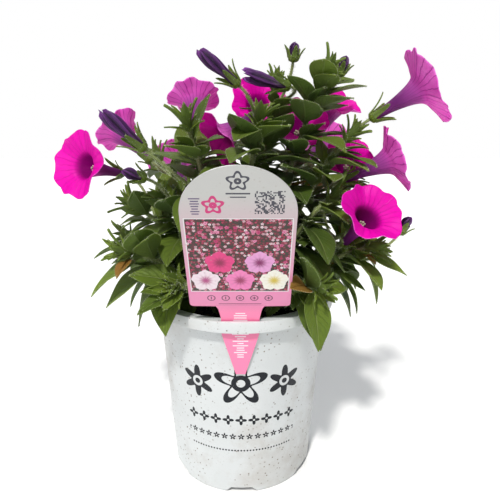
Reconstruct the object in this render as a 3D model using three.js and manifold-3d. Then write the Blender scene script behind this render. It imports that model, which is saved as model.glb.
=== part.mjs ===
// A trailing petunia in bloom, in a white 140 mm nursery pot with a plant tag.
// Millimetres, +Z up. The origin is on the pot's axis, on the surface it stands on, and the tag leans towards -Y.
// Each leafy shoot is one green body: its stem, leaves, flower stalks and calyces. Each corolla is a body of its
// own that sits in its calyx, with a column of stamens in its tube. The shoots stand in holes in the potting mix.
import * as THREE from "three";
import { mergeVertices } from "three/addons/utils/BufferGeometryUtils.js";
import Module from "manifold-3d";

const wasm = await Module();
wasm.setup();

const CLEARANCE = 0.3;
const RADIANS = Math.PI / 180;

// Pot: an injection moulded cone with a skirted rim, a tag slot in the rim and drainage notches in its foot.
const POT_SIDES = 32;
const POT_HEIGHT = 143;
const RIM_RADIUS = 70;
const RIM_SKIRT = 8;
const WALL_TOP_RADIUS = 64;
const WALL_FOOT_RADIUS = 54.9;
const WALL = 1.4;
const FOOT_HEIGHT = 5;
const NOTCHES = 6;
const NOTCH_WIDTH_LOW = 27;
const NOTCH_WIDTH_HIGH = 15;
const SLOT_WIDTH = 29;
const SLOT_Y = [-67.6, -64.7];

// Potting mix: fills the pot to a little below the rim.
const SOIL_TOP = 127;
const SOIL_SIDES = 32;
const SOIL_ROUGHNESS = 1.1;
const ROOT_DEPTH = 15;

// Tag: a flat plastic label, bent forward where it leaves the slot in the rim.
const TAG_THICKNESS = 0.7;
const TAG_HALF_WIDTH = 32;
const TAG_ARCH = 31;
const TAG_BODY = 75;
const TAG_NECK_HALF_WIDTH = 15.6;
const TAG_TAIL_HALF_WIDTH = 12.6;
const TAG_TAIL_TIP = 3.2;
const TAG_LEAN = 28 * RADIANS;
const TAG_TAIL_LEAN = 4 * RADIANS;
const TAG_BEND = 10;
const TAG_TAIL_LENGTH = 42;
const TAG_TAIL_START = [-63.2, 102.6];

// Leafy shoots. root is the angle round the crown in degrees and the distance from the pot's axis. rise is how
// steeply the stem goes up before it leans out. leaves is their number and longest the length of the longest one.
// A flower is [kind, place on the stem, throat or bud tip, the way it faces, limb radius or bud length].
const SHOOTS = [
  { root: [262, 15], tip: [12, -24, 268], rise: 0.62, leaves: 10, longest: 56, turn: 36,
    flowers: [["bud", 0.86, [-29.8, -9, 316], [-0.76, -0.12, 0.64], 37]] },
  { root: [215, 15], tip: [-34, -36, 266], rise: 0.6, leaves: 10, longest: 52, turn: 108,
    flowers: [["bud", 0.6, [-85.5, -55, 276], [-0.7, -0.2, 0.68], 36]] },
  { root: [330, 9], tip: [24, 8, 292], rise: 0.6, leaves: 10, longest: 49, turn: 36,
    flowers: [
      ["bud", 0.9, [0, -15, 299], [-0.95, -0.18, 0.22], 35],
      ["bud", 0.86, [38, 6, 322], [0.1, 0, 1], 13],
      ["bloom", 0.74, [-10, -3, 259], [-0.75, -0.4, -0.5], 23],
    ] },
  { root: [335, 16], tip: [59, -9, 300], rise: 0.62, leaves: 10, longest: 47, turn: 180,
    flowers: [["bud", 0.9, [74, 4, 313], [0.3, -0.1, 0.95], 14]] },
  { root: [318, 20], tip: [74, -18, 258], rise: 0.62, leaves: 10, longest: 54, turn: 324,
    flowers: [["bloom", 0.66, [116, -22, 287], [0.84, -0.1, 0.52], 28]] },
  { root: [300, 23], tip: [62, -30, 218], rise: 0.66, leaves: 8, longest: 52, turn: 180,
    flowers: [["bloom", 0.9, [82, -50, 207], [0.3, -0.66, 0.68], 22.5]] },
  { root: [345, 22], tip: [86, 18, 228], rise: 0.66, leaves: 9, longest: 52, turn: 36,
    flowers: [
      ["bloom", 0.76, [101, -14, 240], [0.9, -0.1, 0.4], 25],
      ["bloom", 0.66, [79, 10, 237], [-0.05, -0.85, 0.5], 18.5],
    ] },
  { root: [200, 21], tip: [-53, -20, 214], rise: 0.64, leaves: 9, longest: 52, turn: 252,
    flowers: [["bud", 0.86, [-76, -47, 238], [-0.75, -0.5, 0.35], 17]] },
  { root: [182, 19], tip: [-78, -6, 208], rise: 0.66, leaves: 9, longest: 49, turn: 108,
    flowers: [["bloom", 0.8, [-109, -12, 237], [-0.5, -0.75, 0.22], 24.5]] },
  { root: [160, 20], tip: [-66, 34, 240], rise: 0.62, leaves: 9, longest: 49, turn: 324,
    flowers: [["bloom", 0.8, [-91, 28, 257], [-0.7, 0.44, 0.56], 19.5]] },
  { root: [225, 25], tip: [-76, -47, 184], rise: 0.74, leaves: 8, longest: 56, turn: 36, flowers: [] },
  { root: [244, 25], tip: [-40, -66, 166], rise: 0.8, leaves: 7, longest: 56, turn: 180, flowers: [] },
  { root: [288, 25], tip: [50, -67, 166], rise: 0.8, leaves: 8, longest: 56, turn: 252, flowers: [] },
  { root: [335, 27], tip: [92, -26, 182], rise: 0.74, leaves: 8, longest: 56, turn: 36,
    flowers: [["bud", 0.8, [125, -6, 200], [0.55, 0.1, 0.83], 15]] },
  { root: [118, 12], tip: [-16, 26, 246], rise: 0.62, leaves: 9, longest: 49, turn: 252,
    flowers: [["bloom", 0.8, [-36, 30, 279], [-0.12, 0.62, 0.78], 21]] },
  { root: [75, 14], tip: [26, 58, 262], rise: 0.62, leaves: 9, longest: 52, turn: 108,
    flowers: [
      ["bloom", 0.82, [12, 36, 279], [0.1, -0.84, 0.54], 22],
      ["bloom", 0.66, [43, 22, 263], [0.12, -0.78, 0.62], 22],
    ] },
  { root: [35, 15], tip: [40, 50, 232], rise: 0.62, leaves: 8, longest: 47, turn: 36,
    flowers: [["bloom", 0.85, [70, 34, 277], [0.4, -0.38, 0.84], 21]] },
  { root: [140, 22], tip: [-62, 74, 208], rise: 0.7, leaves: 7, longest: 56, turn: 108,
    flowers: [["bloom", 0.86, [-60, 94, 228], [-0.4, 0.7, 0.58], 26]] },
  { root: [50, 24], tip: [60, 76, 214], rise: 0.7, leaves: 7, longest: 56, turn: 252,
    flowers: [["bloom", 0.86, [70, 92, 246], [0.42, 0.7, 0.58], 26]] },
  { root: [95, 24], tip: [14, 86, 176], rise: 0.78, leaves: 6, longest: 56, turn: 36,
    flowers: [["bud", 0.8, [-6, 116, 214], [-0.2, 0.6, 0.77], 28]] },
  { root: [15, 26], tip: [98, 40, 182], rise: 0.76, leaves: 7, longest: 56, turn: 108, flowers: [] },
  { root: [168, 26], tip: [-94, 34, 176], rise: 0.76, leaves: 7, longest: 56, turn: 324, flowers: [] },
];
const STEM_RADIUS = [2.4, 1.45];
const STEM_SIDES = 5;
const SIDEWAYS = [0.3, 0.6, -0.75];
const STEM_STEPS = 4;
const STALK_RADIUS = 1;
const STALK_STEPS = 3;
const LEAVES_FROM = 0.3;
const LEAVES_TO = 0.88;
const LEAF_TURN = 144;
const TUFT_LENGTH = [10, 22];
const TUFT_SPREAD = [16, 42];
const TUFT_LEAF_WIDTH = 0.34;

// Leaf: outline as [share of length, half width as a share of the full width].
const LEAF_OUTLINE = [[0, 0.05], [0.16, 0.055], [0.44, 0.46], [0.76, 0.42], [1, 0]];
const SMALL_LEAF_OUTLINE = [[0, 0.06], [0.16, 0.075], [0.58, 0.5], [1, 0]];
const LEAF_ROOT = 0.6;
const SMALL_LEAF = 27;
const LEAF_WIDTH = 0.48;
const LEAF_FOLD = 0.1;
const LEAF_THICKNESS = 0.9;

// Calyx: a small cup with five strap shaped sepals. The corolla's tube stands in it.
const CUP_BELLY = [3.7, 1.2];
const CUP_RIM = [4.3, 4.4];
const CUP_BORE = [3.1, 0.6];
const SEPAL_LENGTH = 14;
const SEPAL_WIDTH = 3.8;
const SEPAL_SPREAD = 30;

// Corolla: a funnel that flares into five joined lobes. Rings are [radius, height above the throat].
const TUBE_LENGTH = 33;
const TUBE_RINGS = [[2.3, -1], [3.7, -0.5], [8.2, 0]];
const LIMB_RINGS = [[0.6, 5.6], [1, 9.5]];
const LOBES = 5;
const LOBE_NOTCH = [0.85, 0.965, 1, 0.965];
const PETAL_THICKNESS = 0.8;
const UNEVEN = 0.13;
const BUD_RINGS = [[2.2, 0], [3.2, 0.32], [4.6, 0.72], [1.5, 1]];
const BUD_PLEAT = 0.7;
const BUD_TWIST = 14 * RADIANS;
const STAMEN_RINGS = [[0.8, -30], [0.9, -8], [1.9, -4.5]];
const STAMEN_SIDES = 4;

// Vectors as plain [x, y, z].
const add = (a, b, s = 1) => [a[0] + b[0] * s, a[1] + b[1] * s, a[2] + b[2] * s];
const scaled = (a, s) => [a[0] * s, a[1] * s, a[2] * s];
const dot = (a, b) => a[0] * b[0] + a[1] * b[1] + a[2] * b[2];
const unit = (a) => scaled(a, 1 / Math.hypot(...a));
const cross = (a, b) => [a[1] * b[2] - a[2] * b[1], a[2] * b[0] - a[0] * b[2], a[0] * b[1] - a[1] * b[0]];
const squared = (a, along) => unit(add(a, along, -dot(a, along)));

// A seeded draw from 0 to 1.
let seed = 20;
function draw() {
  seed = (Math.imul(seed, 1664525) + 1013904223) >>> 0;
  return seed / 4294967296;
}
const between = (low, high) => low + (high - low) * draw();

// Two directions square to an axis and to each other.
function axesAround(axis) {
  const east = squared(SIDEWAYS, axis);
  return { east, north: cross(axis, east) };
}

// A point and the direction on a curve with three control points.
function onCurve([a, b, c], t) {
  const at = add(add(scaled(a, (1 - t) ** 2), b, 2 * t * (1 - t)), c, t * t);
  const along = add(add(scaled(a, t - 1), b, 1 - 2 * t), c, t);
  return { at, along: unit(along) };
}

// The same on a stem, which is straight from one of its rings to the next.
function onStem(curve, t) {
  const ring = Math.min(Math.floor(t * STEM_STEPS), STEM_STEPS - 1);
  const from = onCurve(curve, ring / STEM_STEPS).at;
  const to = onCurve(curve, (ring + 1) / STEM_STEPS).at;
  return { at: add(from, add(to, from, -1), t * STEM_STEPS - ring), along: onCurve(curve, t).along };
}

function stemCurve(shoot) {
  const angle = shoot.root[0] * RADIANS;
  const root = [shoot.root[1] * Math.cos(angle), shoot.root[1] * Math.sin(angle), SOIL_TOP];
  const reach = add(shoot.tip, root, -1);
  return [root, add(root, [reach[0] * 0.3, reach[1] * 0.3, reach[2] * shoot.rise]), shoot.tip];
}

// The point where a flower's stalk ends and its calyx begins.
function calyxPoint([kind, , place, facing, size]) {
  const length = kind === "bloom" ? TUBE_LENGTH : size;
  return add(place, unit(facing), -length - 1);
}

function stalkCurve(curve, flower) {
  const start = onStem(curve, flower[1]).at;
  const end = calyxPoint(flower);
  const reach = Math.hypot(...add(end, start, -1));
  return [start, add(end, unit(flower[3]), -0.45 * reach), end];
}

// Leaf frame: origin, direction, upper side and the sizes that its surface needs.
function leafFrame(stem, at, turn, pitch, size, droop, wave) {
  const { at: origin, along } = onStem(stem, at);
  const { east, north } = axesAround(along);
  const out = add(scaled(east, Math.cos(turn)), north, Math.sin(turn));
  const heading = add(scaled(along, Math.cos(pitch)), out, Math.sin(pitch));
  const sky = add(scaled(along, 0.55), [0, 0, 1], 0.7);
  return { origin, heading, upper: squared(sky, heading), length: size, droop, wave };
}

// A point of the leaf's surface: u runs from its base to its tip and v from its left edge, -1, to its right, 1.
function leafPoint(leaf, u, v, halfWidth) {
  const bend = Math.max(leaf.droop, 0.01);
  const ahead = (Math.sin(bend * u) / bend) * leaf.length;
  const down = ((1 - Math.cos(bend * u)) / bend) * leaf.length;
  const spine = add(add(leaf.origin, leaf.heading, ahead), leaf.upper, -down);
  const normal = add(scaled(leaf.upper, Math.cos(bend * u)), leaf.heading, Math.sin(bend * u));
  const width = halfWidth * leaf.length * LEAF_WIDTH;
  const ripple = leaf.wave * width * Math.sin(5 * u + 2 * v + leaf.wave * 40) * Math.abs(v);
  const edge = add(spine, cross(leaf.heading, leaf.upper), v * width);
  return add(edge, normal, LEAF_FOLD * width * Math.abs(v) + ripple);
}

function outlineWidth(outline, u) {
  const after = outline.findIndex(([at]) => at >= u);
  if (after < 1) return outline[0][1];
  const [a, b] = [outline[after - 1], outline[after]];
  return a[1] + ((b[1] - a[1]) * (u - a[0])) / (b[0] - a[0]);
}

// Things that a leaf has to keep clear of, as points with a radius and the number of the shoot they belong to.
const LEAF_SAMPLES_ALONG = [0.14, 0.24, 0.34, 0.44, 0.54, 0.64, 0.74, 0.84, 0.93, 1];
const LEAF_SAMPLES_ACROSS = [-1, -0.66, -0.33, 0, 0.33, 0.66, 1];
const LEAF_SPACE = 1.8;
const OWN_SPACE = 0.62;
const OWN_START = 0.45;
const obstacles = [];

function leafSamples(leaf) {
  return LEAF_SAMPLES_ALONG.flatMap((u) =>
    LEAF_SAMPLES_ACROSS.map((v) => ({ u, at: leafPoint(leaf, u, v, outlineWidth(LEAF_OUTLINE, u)) })),
  );
}

function inPot([x, y, z]) {
  const radius = Math.hypot(x, y);
  if (z > POT_HEIGHT + 3 || radius > RIM_RADIUS + 3) return z < 4;
  return z < SOIL_TOP + 4 || radius > WALL_TOP_RADIUS - 4;
}

function isClear(samples, owner) {
  return samples.every(({ u, at }) => {
    if (inPot(at)) return false;
    return obstacles.every((o) => {
      if (o.owner === owner && u < OWN_START) return true;
      const space = (o.radius + LEAF_SPACE) * (o.owner === owner ? OWN_SPACE : 1);
      const dx = at[0] - o.at[0];
      const dy = at[1] - o.at[1];
      const dz = at[2] - o.at[2];
      return dx * dx + dy * dy + dz * dz > space * space;
    });
  });
}

// The tag's bent centre line: a point [y, z] and its lean at a length along the tag from its shoulder.
function tagLine(length) {
  const neck = TAG_TAIL_LENGTH;
  const from = length + neck + TAG_BEND;
  const straight = Math.min(from, neck);
  let y = TAG_TAIL_START[0] - straight * Math.sin(TAG_TAIL_LEAN);
  let z = TAG_TAIL_START[1] + straight * Math.cos(TAG_TAIL_LEAN);
  const bent = Math.max(0, Math.min(from - neck, TAG_BEND)) / TAG_BEND;
  const lean = TAG_TAIL_LEAN + (TAG_LEAN - TAG_TAIL_LEAN) * bent;
  const middle = (TAG_TAIL_LEAN + lean) / 2;
  y -= bent * TAG_BEND * Math.sin(middle);
  z += bent * TAG_BEND * Math.cos(middle);
  const rest = Math.max(0, length);
  return { at: [y - rest * Math.sin(TAG_LEAN), z + rest * Math.cos(TAG_LEAN)], lean };
}

function placeObstacles() {
  for (let s = -TAG_BEND; s <= TAG_BODY + TAG_ARCH; s += 5) {
    const { at } = tagLine(s);
    for (let x = -TAG_HALF_WIDTH; x <= TAG_HALF_WIDTH; x += 5.2) {
      obstacles.push({ at: [x, ...at], radius: 1.6, owner: -1 });
    }
  }
  SHOOTS.forEach((shoot, owner) => {
    const curve = stemCurve(shoot);
    for (let t = 0.06; t <= 1; t += 0.03) {
      obstacles.push({ at: onCurve(curve, t).at, radius: 2, owner });
    }
    const end = onCurve(curve, 1);
    for (let ahead = 4; ahead < TUFT_LENGTH[1]; ahead += 6) {
      obstacles.push({ at: add(end.at, end.along, ahead), radius: 5, owner: owner + 100 });
    }
    for (const flower of shoot.flowers) {
      const stalk = stalkCurve(curve, flower);
      for (let t = 0.1; t <= 1; t += 0.12) {
        obstacles.push({ at: onCurve(stalk, t).at, radius: 1.6, owner });
      }
      placeFlowerObstacles(flower, owner);
    }
  });
}

function placeFlowerObstacles(flower, owner) {
  const [kind, , place, facing, size] = flower;
  const axis = unit(facing);
  const { east, north } = axesAround(axis);
  const ring = (radius, height, count, clear) => {
    for (let k = 0; k < count; k++) {
      const turn = (2 * Math.PI * k) / count;
      const out = add(scaled(east, Math.cos(turn)), north, Math.sin(turn));
      const at = add(add(place, axis, height), out, radius);
      obstacles.push({ at, radius: clear, owner: owner + 100 });
    }
  };
  const length = kind === "bloom" ? TUBE_LENGTH : size;
  for (let height = -length; height < 0; height += 4) {
    const above = height + length;
    ring(0, height, 1, above > 5 && above < 18 ? 9 : 6);
  }
  ring(0, 0, 1, 6);
  if (kind === "bloom") {
    ring(size * 0.4, 3.5, 7, 3);
    ring(size * 0.72, 7, 13, 3.2);
    ring(size, 9.5, 18, 3.4);
  }
}


// Tries a leaf at its own place, then turned and lifted by growing steps, then smaller.
const TURNS = [0, 20, -20, 72, -72, 52, -52, 92, -92, 144, -144];
const SHRINKS = [1, 0.85, 0.7, 0.55, 0.42];
function placeLeaf(stem, owner, at, turn, pitch, size, droop, wave) {
  for (const shrink of SHRINKS) {
    for (const extra of TURNS) {
      for (const lift of [0, -0.28, 0.28]) {
        const turned = turn + extra * RADIANS;
        const leaf = leafFrame(stem, at, turned, pitch + lift, size * shrink, droop, wave);
        const samples = leafSamples(leaf);
        if (isClear(samples, owner)) {
          samples.forEach((s) => obstacles.push({ at: s.at, radius: LEAF_SPACE, owner }));
          return leaf;
        }
      }
    }
  }
  return null;
}

function leavesOf(shoot, owner) {
  const stem = stemCurve(shoot);
  const leaves = [];
  for (let k = shoot.leaves - 1; k >= 0; k--) {
    const share = k / (shoot.leaves - 1);
    const at = LEAVES_FROM + (LEAVES_TO - LEAVES_FROM) * share;
    const turn = (shoot.turn + k * LEAF_TURN) * RADIANS + between(-0.1, 0.1);
    const pitch = (80 - 34 * share * share) * RADIANS + between(-0.15, 0.15);
    const size = shoot.longest * (1 - 0.28 * share ** 3 - 0.2 * (1 - share) ** 3) * between(0.88, 1.08);
    const droop = 0.35 + 0.75 * (1 - share) + between(-0.2, 0.25);
    const leaf = placeLeaf(stem, owner, at, turn, pitch, size, droop, between(0.04, 0.16));
    if (leaf) leaves.push(leaf);
  }
  return leaves;
}

function tuftOf() {
  return Array.from({ length: STEM_SIDES }, () => {
    const length = between(...TUFT_LENGTH);
    return { length, spread: between(...TUFT_SPREAD), width: TUFT_LEAF_WIDTH * length };
  });
}

// Closed meshes.
function geometryOf(points, faces) {
  const geometry = new THREE.BufferGeometry();
  geometry.setAttribute("position", new THREE.Float32BufferAttribute(points.flat(), 3));
  geometry.setIndex(faces.flat());
  return geometry;
}

function solidOf(geometry) {
  const bare = geometry.clone();
  bare.deleteAttribute("normal");
  bare.deleteAttribute("uv");
  const merged = mergeVertices(bare, 1e-4);
  const mesh = new wasm.Mesh({
    numProp: 3,
    vertProperties: merged.attributes.position.array,
    triVerts: new Uint32Array(merged.index.array),
  });
  const solid = new wasm.Manifold(mesh);
  if (solid.volume() > 0) return solid;
  const turned = mesh.triVerts.slice();
  for (let k = 0; k < turned.length; k += 3) [turned[k], turned[k + 1]] = [turned[k + 1], turned[k]];
  return new wasm.Manifold(new wasm.Mesh({ numProp: 3, vertProperties: mesh.vertProperties, triVerts: turned }));
}

// Rings of equally many points, joined one to the next, with each end closed to its middle.
function loft(rings) {
  const count = rings[0].length;
  const points = rings.flat();
  const faces = [];
  for (let r = 0; r + 1 < rings.length; r++) {
    for (let k = 0; k < count; k++) {
      const [a, b] = [r * count + k, r * count + ((k + 1) % count)];
      faces.push([a, b, b + count], [a, b + count, a + count]);
    }
  }
  const last = (rings.length - 1) * count;
  for (let k = 1; k + 1 < count; k++) {
    faces.push([0, k + 1, k], [last, last + k, last + k + 1]);
  }
  return geometryOf(points, faces);
}

function tubeRings(curve, radii, steps, extra = 0) {
  const rings = [];
  for (let r = 0; r <= steps; r++) {
    const t = r / steps;
    const { at, along } = onCurve(curve, t);
    const radius = radii[0] + (radii[1] - radii[0]) * t + extra;
    rings.push(circle(at, axesAround(along), radius, STEM_SIDES));
  }
  return rings;
}

function circle(centre, { east, north }, radius, sides) {
  return Array.from({ length: sides }, (_, k) => {
    const turn = (2 * Math.PI * k) / sides;
    return add(add(centre, east, radius * Math.cos(turn)), north, radius * Math.sin(turn));
  });
}

// The stem reaches down into the potting mix, as a root stock with the same sides.
function stemRings(curve, extra = 0) {
  const rings = tubeRings(curve, STEM_RADIUS, STEM_STEPS, extra);
  const flat = rings[0].map(([x, y]) => [x, y, SOIL_TOP + 2.5]);
  const foot = rings[0].map(([x, y]) => [x, y, SOIL_TOP - ROOT_DEPTH - extra]);
  return [foot, flat, ...rings.slice(1)];
}

// A tube that ends in a whorl of keeled leaves, one to each of its sides. A calyx is such a whorl on a cup, with
// a bore for the corolla's tube. Without a bore the leaves close over the tip of the stem.
function whorled(rings, end, axis, leaves, cup) {
  const points = rings.flat();
  const frame = axesAround(axis);
  const count = leaves.length;
  const point = (radius, height, turn, aside = 0) => {
    const angle = (2 * Math.PI * turn) / count;
    const out = add(scaled(frame.east, Math.cos(angle)), frame.north, Math.sin(angle));
    points.push(add(add(add(end, axis, height), out, radius), cross(axis, out), aside));
    return points.length - 1;
  };
  const each = (make) => leaves.map((leaf, k) => make(k, leaf));
  const fan = (ring) => ring.slice(2).map((_, k) => [ring[0], ring[k + 1], ring[k + 2]]);
  const faces = fan(each((k) => k)).map(([a, b, c]) => [a, c, b]);
  const band = (low, high) =>
    each((k) => {
      const next = (k + 1) % count;
      faces.push([low[k], low[next], high[next]], [low[k], high[next], high[k]]);
    });
  const tube = rings.map((_, r) => each((k) => r * count + k));
  if (cup) tube.push(each((k) => point(...CUP_BELLY, k)));
  for (let r = 0; r + 1 < tube.length; r++) band(tube[r], tube[r + 1]);
  const last = tube[tube.length - 1];
  const [rim, rimHeight] = cup ? CUP_RIM : [STEM_RADIUS[1] + 0.3, 2.2];
  const outward = ({ length, spread }) => length * Math.sin(spread * RADIANS);
  const ahead = ({ length, spread }) => length * Math.cos(spread * RADIANS);
  const valley = each((k) => point(rim - 0.4, rimHeight - 0.4, k + 0.5));
  const ridge = each((k) => point(rim, rimHeight, k));
  const keel = each((k, leaf) => point(rim + 0.6 * outward(leaf) + 0.5, rimHeight + 0.58 * ahead(leaf), k));
  const edge = (side) => (k, leaf) =>
    point(rim + 0.6 * outward(leaf) - 0.3, rimHeight + 0.62 * ahead(leaf), k, (side * leaf.width) / 2);
  const left = each(edge(-1));
  const right = each(edge(1));
  const tip = each((k, leaf) => point(rim + outward(leaf), rimHeight + ahead(leaf), k));
  const middle = cup ? null : point(0, rimHeight - 0.6, 0);
  const lip = each((k) => (cup ? point(CUP_BORE[0], rimHeight - 0.2, k) : middle));
  const floor = cup ? each((k) => point(...CUP_BORE, k)) : [];
  faces.push(...fan(floor));
  for (let k = 0; k < count; k++) {
    const next = (k + 1) % count;
    const before = (k + count - 1) % count;
    faces.push(
      [last[k], last[next], valley[k]], [last[k], valley[k], ridge[k]], [last[next], ridge[next], valley[k]],
      [valley[before], ridge[k], left[k]], [ridge[k], keel[k], left[k]], [left[k], keel[k], tip[k]],
      [ridge[k], valley[k], right[k]], [ridge[k], right[k], keel[k]], [keel[k], right[k], tip[k]],
      [valley[before], left[k], lip[k]], [lip[k], left[k], right[k]], [lip[k], right[k], valley[k]],
      [left[k], tip[k], right[k]],
    );
    if (cup) {
      faces.push([lip[k], valley[k], floor[k]], [valley[k], floor[next], floor[k]]);
      faces.push([valley[k], lip[next], floor[next]]);
    }
  }
  return solidOf(geometryOf(points, faces));
}

// A blade with a keel under its midrib: each station is its left edge, its right edge and the keel. The root is a
// smaller copy of the first station, on the stem's centre line, so that the stalk's faces are flat.
function leafSolid(leaf, outline) {
  const stations = outline.slice(1, -1).map(([u, width]) => {
    const keel = add(leafPoint(leaf, u, 0, 0), leaf.upper, -LEAF_THICKNESS * (1 - 0.3 * u));
    return [leafPoint(leaf, u, -1, width), leafPoint(leaf, u, 1, width), keel];
  });
  const middle = leafPoint(leaf, outline[1][0], 0, 0);
  stations.unshift(stations[0].map((point) => add(leaf.origin, add(point, middle, -1), LEAF_ROOT)));
  const points = [...stations.flat(), leafPoint(leaf, 1, 0, 0)];
  const faces = [[0, 2, 1]];
  stations.forEach((_, s) => {
    const tip = s === stations.length - 1;
    for (let k = 0; k < 3; k++) {
      const [a, b] = [3 * s + k, 3 * s + ((k + 1) % 3)];
      if (tip) faces.push([a, b, points.length - 1]);
      else if (k === 1) faces.push([a, b, b + 3], [a, b + 3, a + 3]);
      else faces.push([a, b, a + 3], [b, b + 3, a + 3]);
    }
  });
  return solidOf(geometryOf(points, faces));
}

function flowerStalkSolid(stem, flower) {
  const stalk = stalkCurve(stem, flower);
  const length = SEPAL_LENGTH * (flower[4] < 20 ? 0.55 : 1);
  const sepals = Array.from({ length: STEM_SIDES }, () => ({ length, spread: SEPAL_SPREAD, width: SEPAL_WIDTH }));
  const rings = tubeRings(stalk, [STALK_RADIUS, STALK_RADIUS], STALK_STEPS);
  return whorled(rings, stalk[2], unit(flower[3]), sepals, true);
}

// A shell made from an outer and an inner set of rings, which share their last ring at the petals' edge.
function corollaGeometry(flower) {
  const [, , place, facing, limb] = flower;
  const axis = unit(facing);
  const { east, north } = axesAround(axis);
  const spots = 4 * LOBES;
  const face = [];
  const points = [];
  // No flower is quite regular: each spot round the funnel is a little off its even place.
  const point = (radius, height, spot) => {
    const turn = (2 * Math.PI * (spot + UNEVEN * Math.sin(1.7 * spot + limb))) / spots;
    const out = add(scaled(east, Math.cos(turn)), north, Math.sin(turn));
    points.push(add(add(place, axis, height), out, radius));
    return points.length - 1;
  };
  const tube = TUBE_RINGS.map(([radius, share]) => [radius, share * TUBE_LENGTH]);
  const flare = LIMB_RINGS.map(([share, height]) => [share * limb, height]);
  const lobed = (share, spot, amount) => share * (1 - amount * (1 - LOBE_NOTCH[spot % 4]));
  const curl = (spot) => [0.9, 0, -1.6, 0][spot % 4];
  const surface = (inward) => {
    const rings = tube.map(([radius, height], r) => {
      const drawn = radius - inward * (r === 2 ? 0.75 : 1);
      const lifted = height + inward * [1.8, 0, 0.7][r];
      return Array.from({ length: spots / 2 }, (_, k) => point(drawn, lifted, 2 * k));
    });
    const [radius, height] = flare[0];
    const lift = height + inward * 1.15;
    rings.push(Array.from({ length: spots / 2 }, (_, k) => point(radius, lift + curl(2 * k) * 0.5, 2 * k)));
    return rings;
  };
  const outer = surface(0);
  const inner = surface(PETAL_THICKNESS);
  const edge = Array.from({ length: spots }, (_, k) => point(lobed(flare[1][0], k, 1), flare[1][1] + curl(k), k));
  const bridge = (low, high, flip) => {
    const double = high.length / low.length;
    for (let k = 0; k < low.length; k++) {
      const next = (k + 1) % low.length;
      const fan = Array.from({ length: double + 1 }, (_, j) => high[(double * k + j) % high.length]);
      const made = [[low[k], low[next], fan[double]]];
      for (let j = 0; j < double; j++) made.push([low[k], fan[j + 1], fan[j]]);
      made.forEach(([a, b, c]) => face.push(flip ? [a, c, b] : [a, b, c]));
    }
  };
  [outer, inner].forEach((rings, side) => {
    for (let r = 0; r + 1 < rings.length; r++) bridge(rings[r], rings[r + 1], side === 1);
    bridge(rings[rings.length - 1], edge, side === 1);
    const cap = rings[0];
    for (let k = 1; k + 1 < cap.length; k++) {
      face.push(side ? [cap[0], cap[k], cap[k + 1]] : [cap[0], cap[k + 1], cap[k]]);
    }
  });
  return geometryOf(points, face);
}

function budGeometry(flower) {
  const [, , place, facing, length] = flower;
  const axis = unit(facing);
  const { east, north } = axesAround(axis);
  const stout = Math.min(1, 0.55 + length / 70);
  const rings = BUD_RINGS.map(([radius, share], r) =>
    Array.from({ length: 2 * LOBES }, (_, k) => {
      const turn = (Math.PI * k) / LOBES + r * BUD_TWIST;
      const drawn = (r ? stout * radius : radius) * (r > 1 && k % 2 ? BUD_PLEAT : 1);
      const out = add(scaled(east, Math.cos(turn)), north, Math.sin(turn));
      return add(add(place, axis, (share - 1) * length), out, drawn);
    }),
  );
  return loft(rings);
}

function stamenGeometry(flower) {
  const axis = unit(flower[3]);
  const ring = ([radius, height]) => circle(add(flower[2], axis, height), axesAround(axis), radius, STAMEN_SIDES);
  return loft(STAMEN_RINGS.map(ring));
}

// A closed [radius, height] profile turned about +Z.
function turned(profile, sides) {
  const geometry = new THREE.LatheGeometry(profile.map(([r, z]) => new THREE.Vector2(r, z)), sides);
  return geometry.rotateX(Math.PI / 2);
}

function potSolid() {
  const rimUnder = POT_HEIGHT - WALL;
  const profile = [
    [0, 0], [14, 0], [18, FOOT_HEIGHT], [WALL_FOOT_RADIUS - 4.1, FOOT_HEIGHT], [WALL_FOOT_RADIUS - 4.1, 0],
    [WALL_FOOT_RADIUS - 1.4, 0], [WALL_FOOT_RADIUS, 3.6],
    [WALL_TOP_RADIUS, rimUnder], [RIM_RADIUS - WALL, rimUnder], [RIM_RADIUS - WALL, POT_HEIGHT - RIM_SKIRT],
    [RIM_RADIUS, POT_HEIGHT - RIM_SKIRT], [RIM_RADIUS, POT_HEIGHT - 0.7], [RIM_RADIUS - 0.7, POT_HEIGHT],
    [WALL_TOP_RADIUS - 0.8, POT_HEIGHT], [WALL_TOP_RADIUS - WALL, POT_HEIGHT - 1],
    [WALL_FOOT_RADIUS - WALL, FOOT_HEIGHT + WALL], [17.4, FOOT_HEIGHT + WALL], [13.4, WALL], [0, WALL],
  ];
  let pot = solidOf(turned(profile, POT_SIDES));
  const notch = new THREE.Shape();
  notch.moveTo(-NOTCH_WIDTH_LOW / 2, -1);
  notch.lineTo(NOTCH_WIDTH_LOW / 2, -1);
  notch.lineTo(NOTCH_WIDTH_HIGH / 2, FOOT_HEIGHT - 0.4);
  notch.lineTo(-NOTCH_WIDTH_HIGH / 2, FOOT_HEIGHT - 0.4);
  for (let k = 0; k < NOTCHES; k++) {
    const turn = (2 * Math.PI * k) / NOTCHES;
    const cut = new THREE.ExtrudeGeometry(notch, { depth: 14, bevelEnabled: false });
    cut.rotateX(Math.PI / 2).translate(0, -WALL_FOOT_RADIUS + 8, 0).rotateZ(turn);
    const hole = new THREE.CylinderGeometry(4.5, 4.5, 8, 6).rotateX(Math.PI / 2);
    hole.translate(0, -WALL_FOOT_RADIUS + 14, FOOT_HEIGHT + WALL / 2).rotateZ(turn);
    pot = pot.subtract(solidOf(cut)).subtract(solidOf(hole));
  }
  const slot = new THREE.BoxGeometry(SLOT_WIDTH, SLOT_Y[1] - SLOT_Y[0], 8);
  slot.translate(0, (SLOT_Y[0] + SLOT_Y[1]) / 2, POT_HEIGHT - 2);
  return pot.subtract(solidOf(slot));
}

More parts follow.
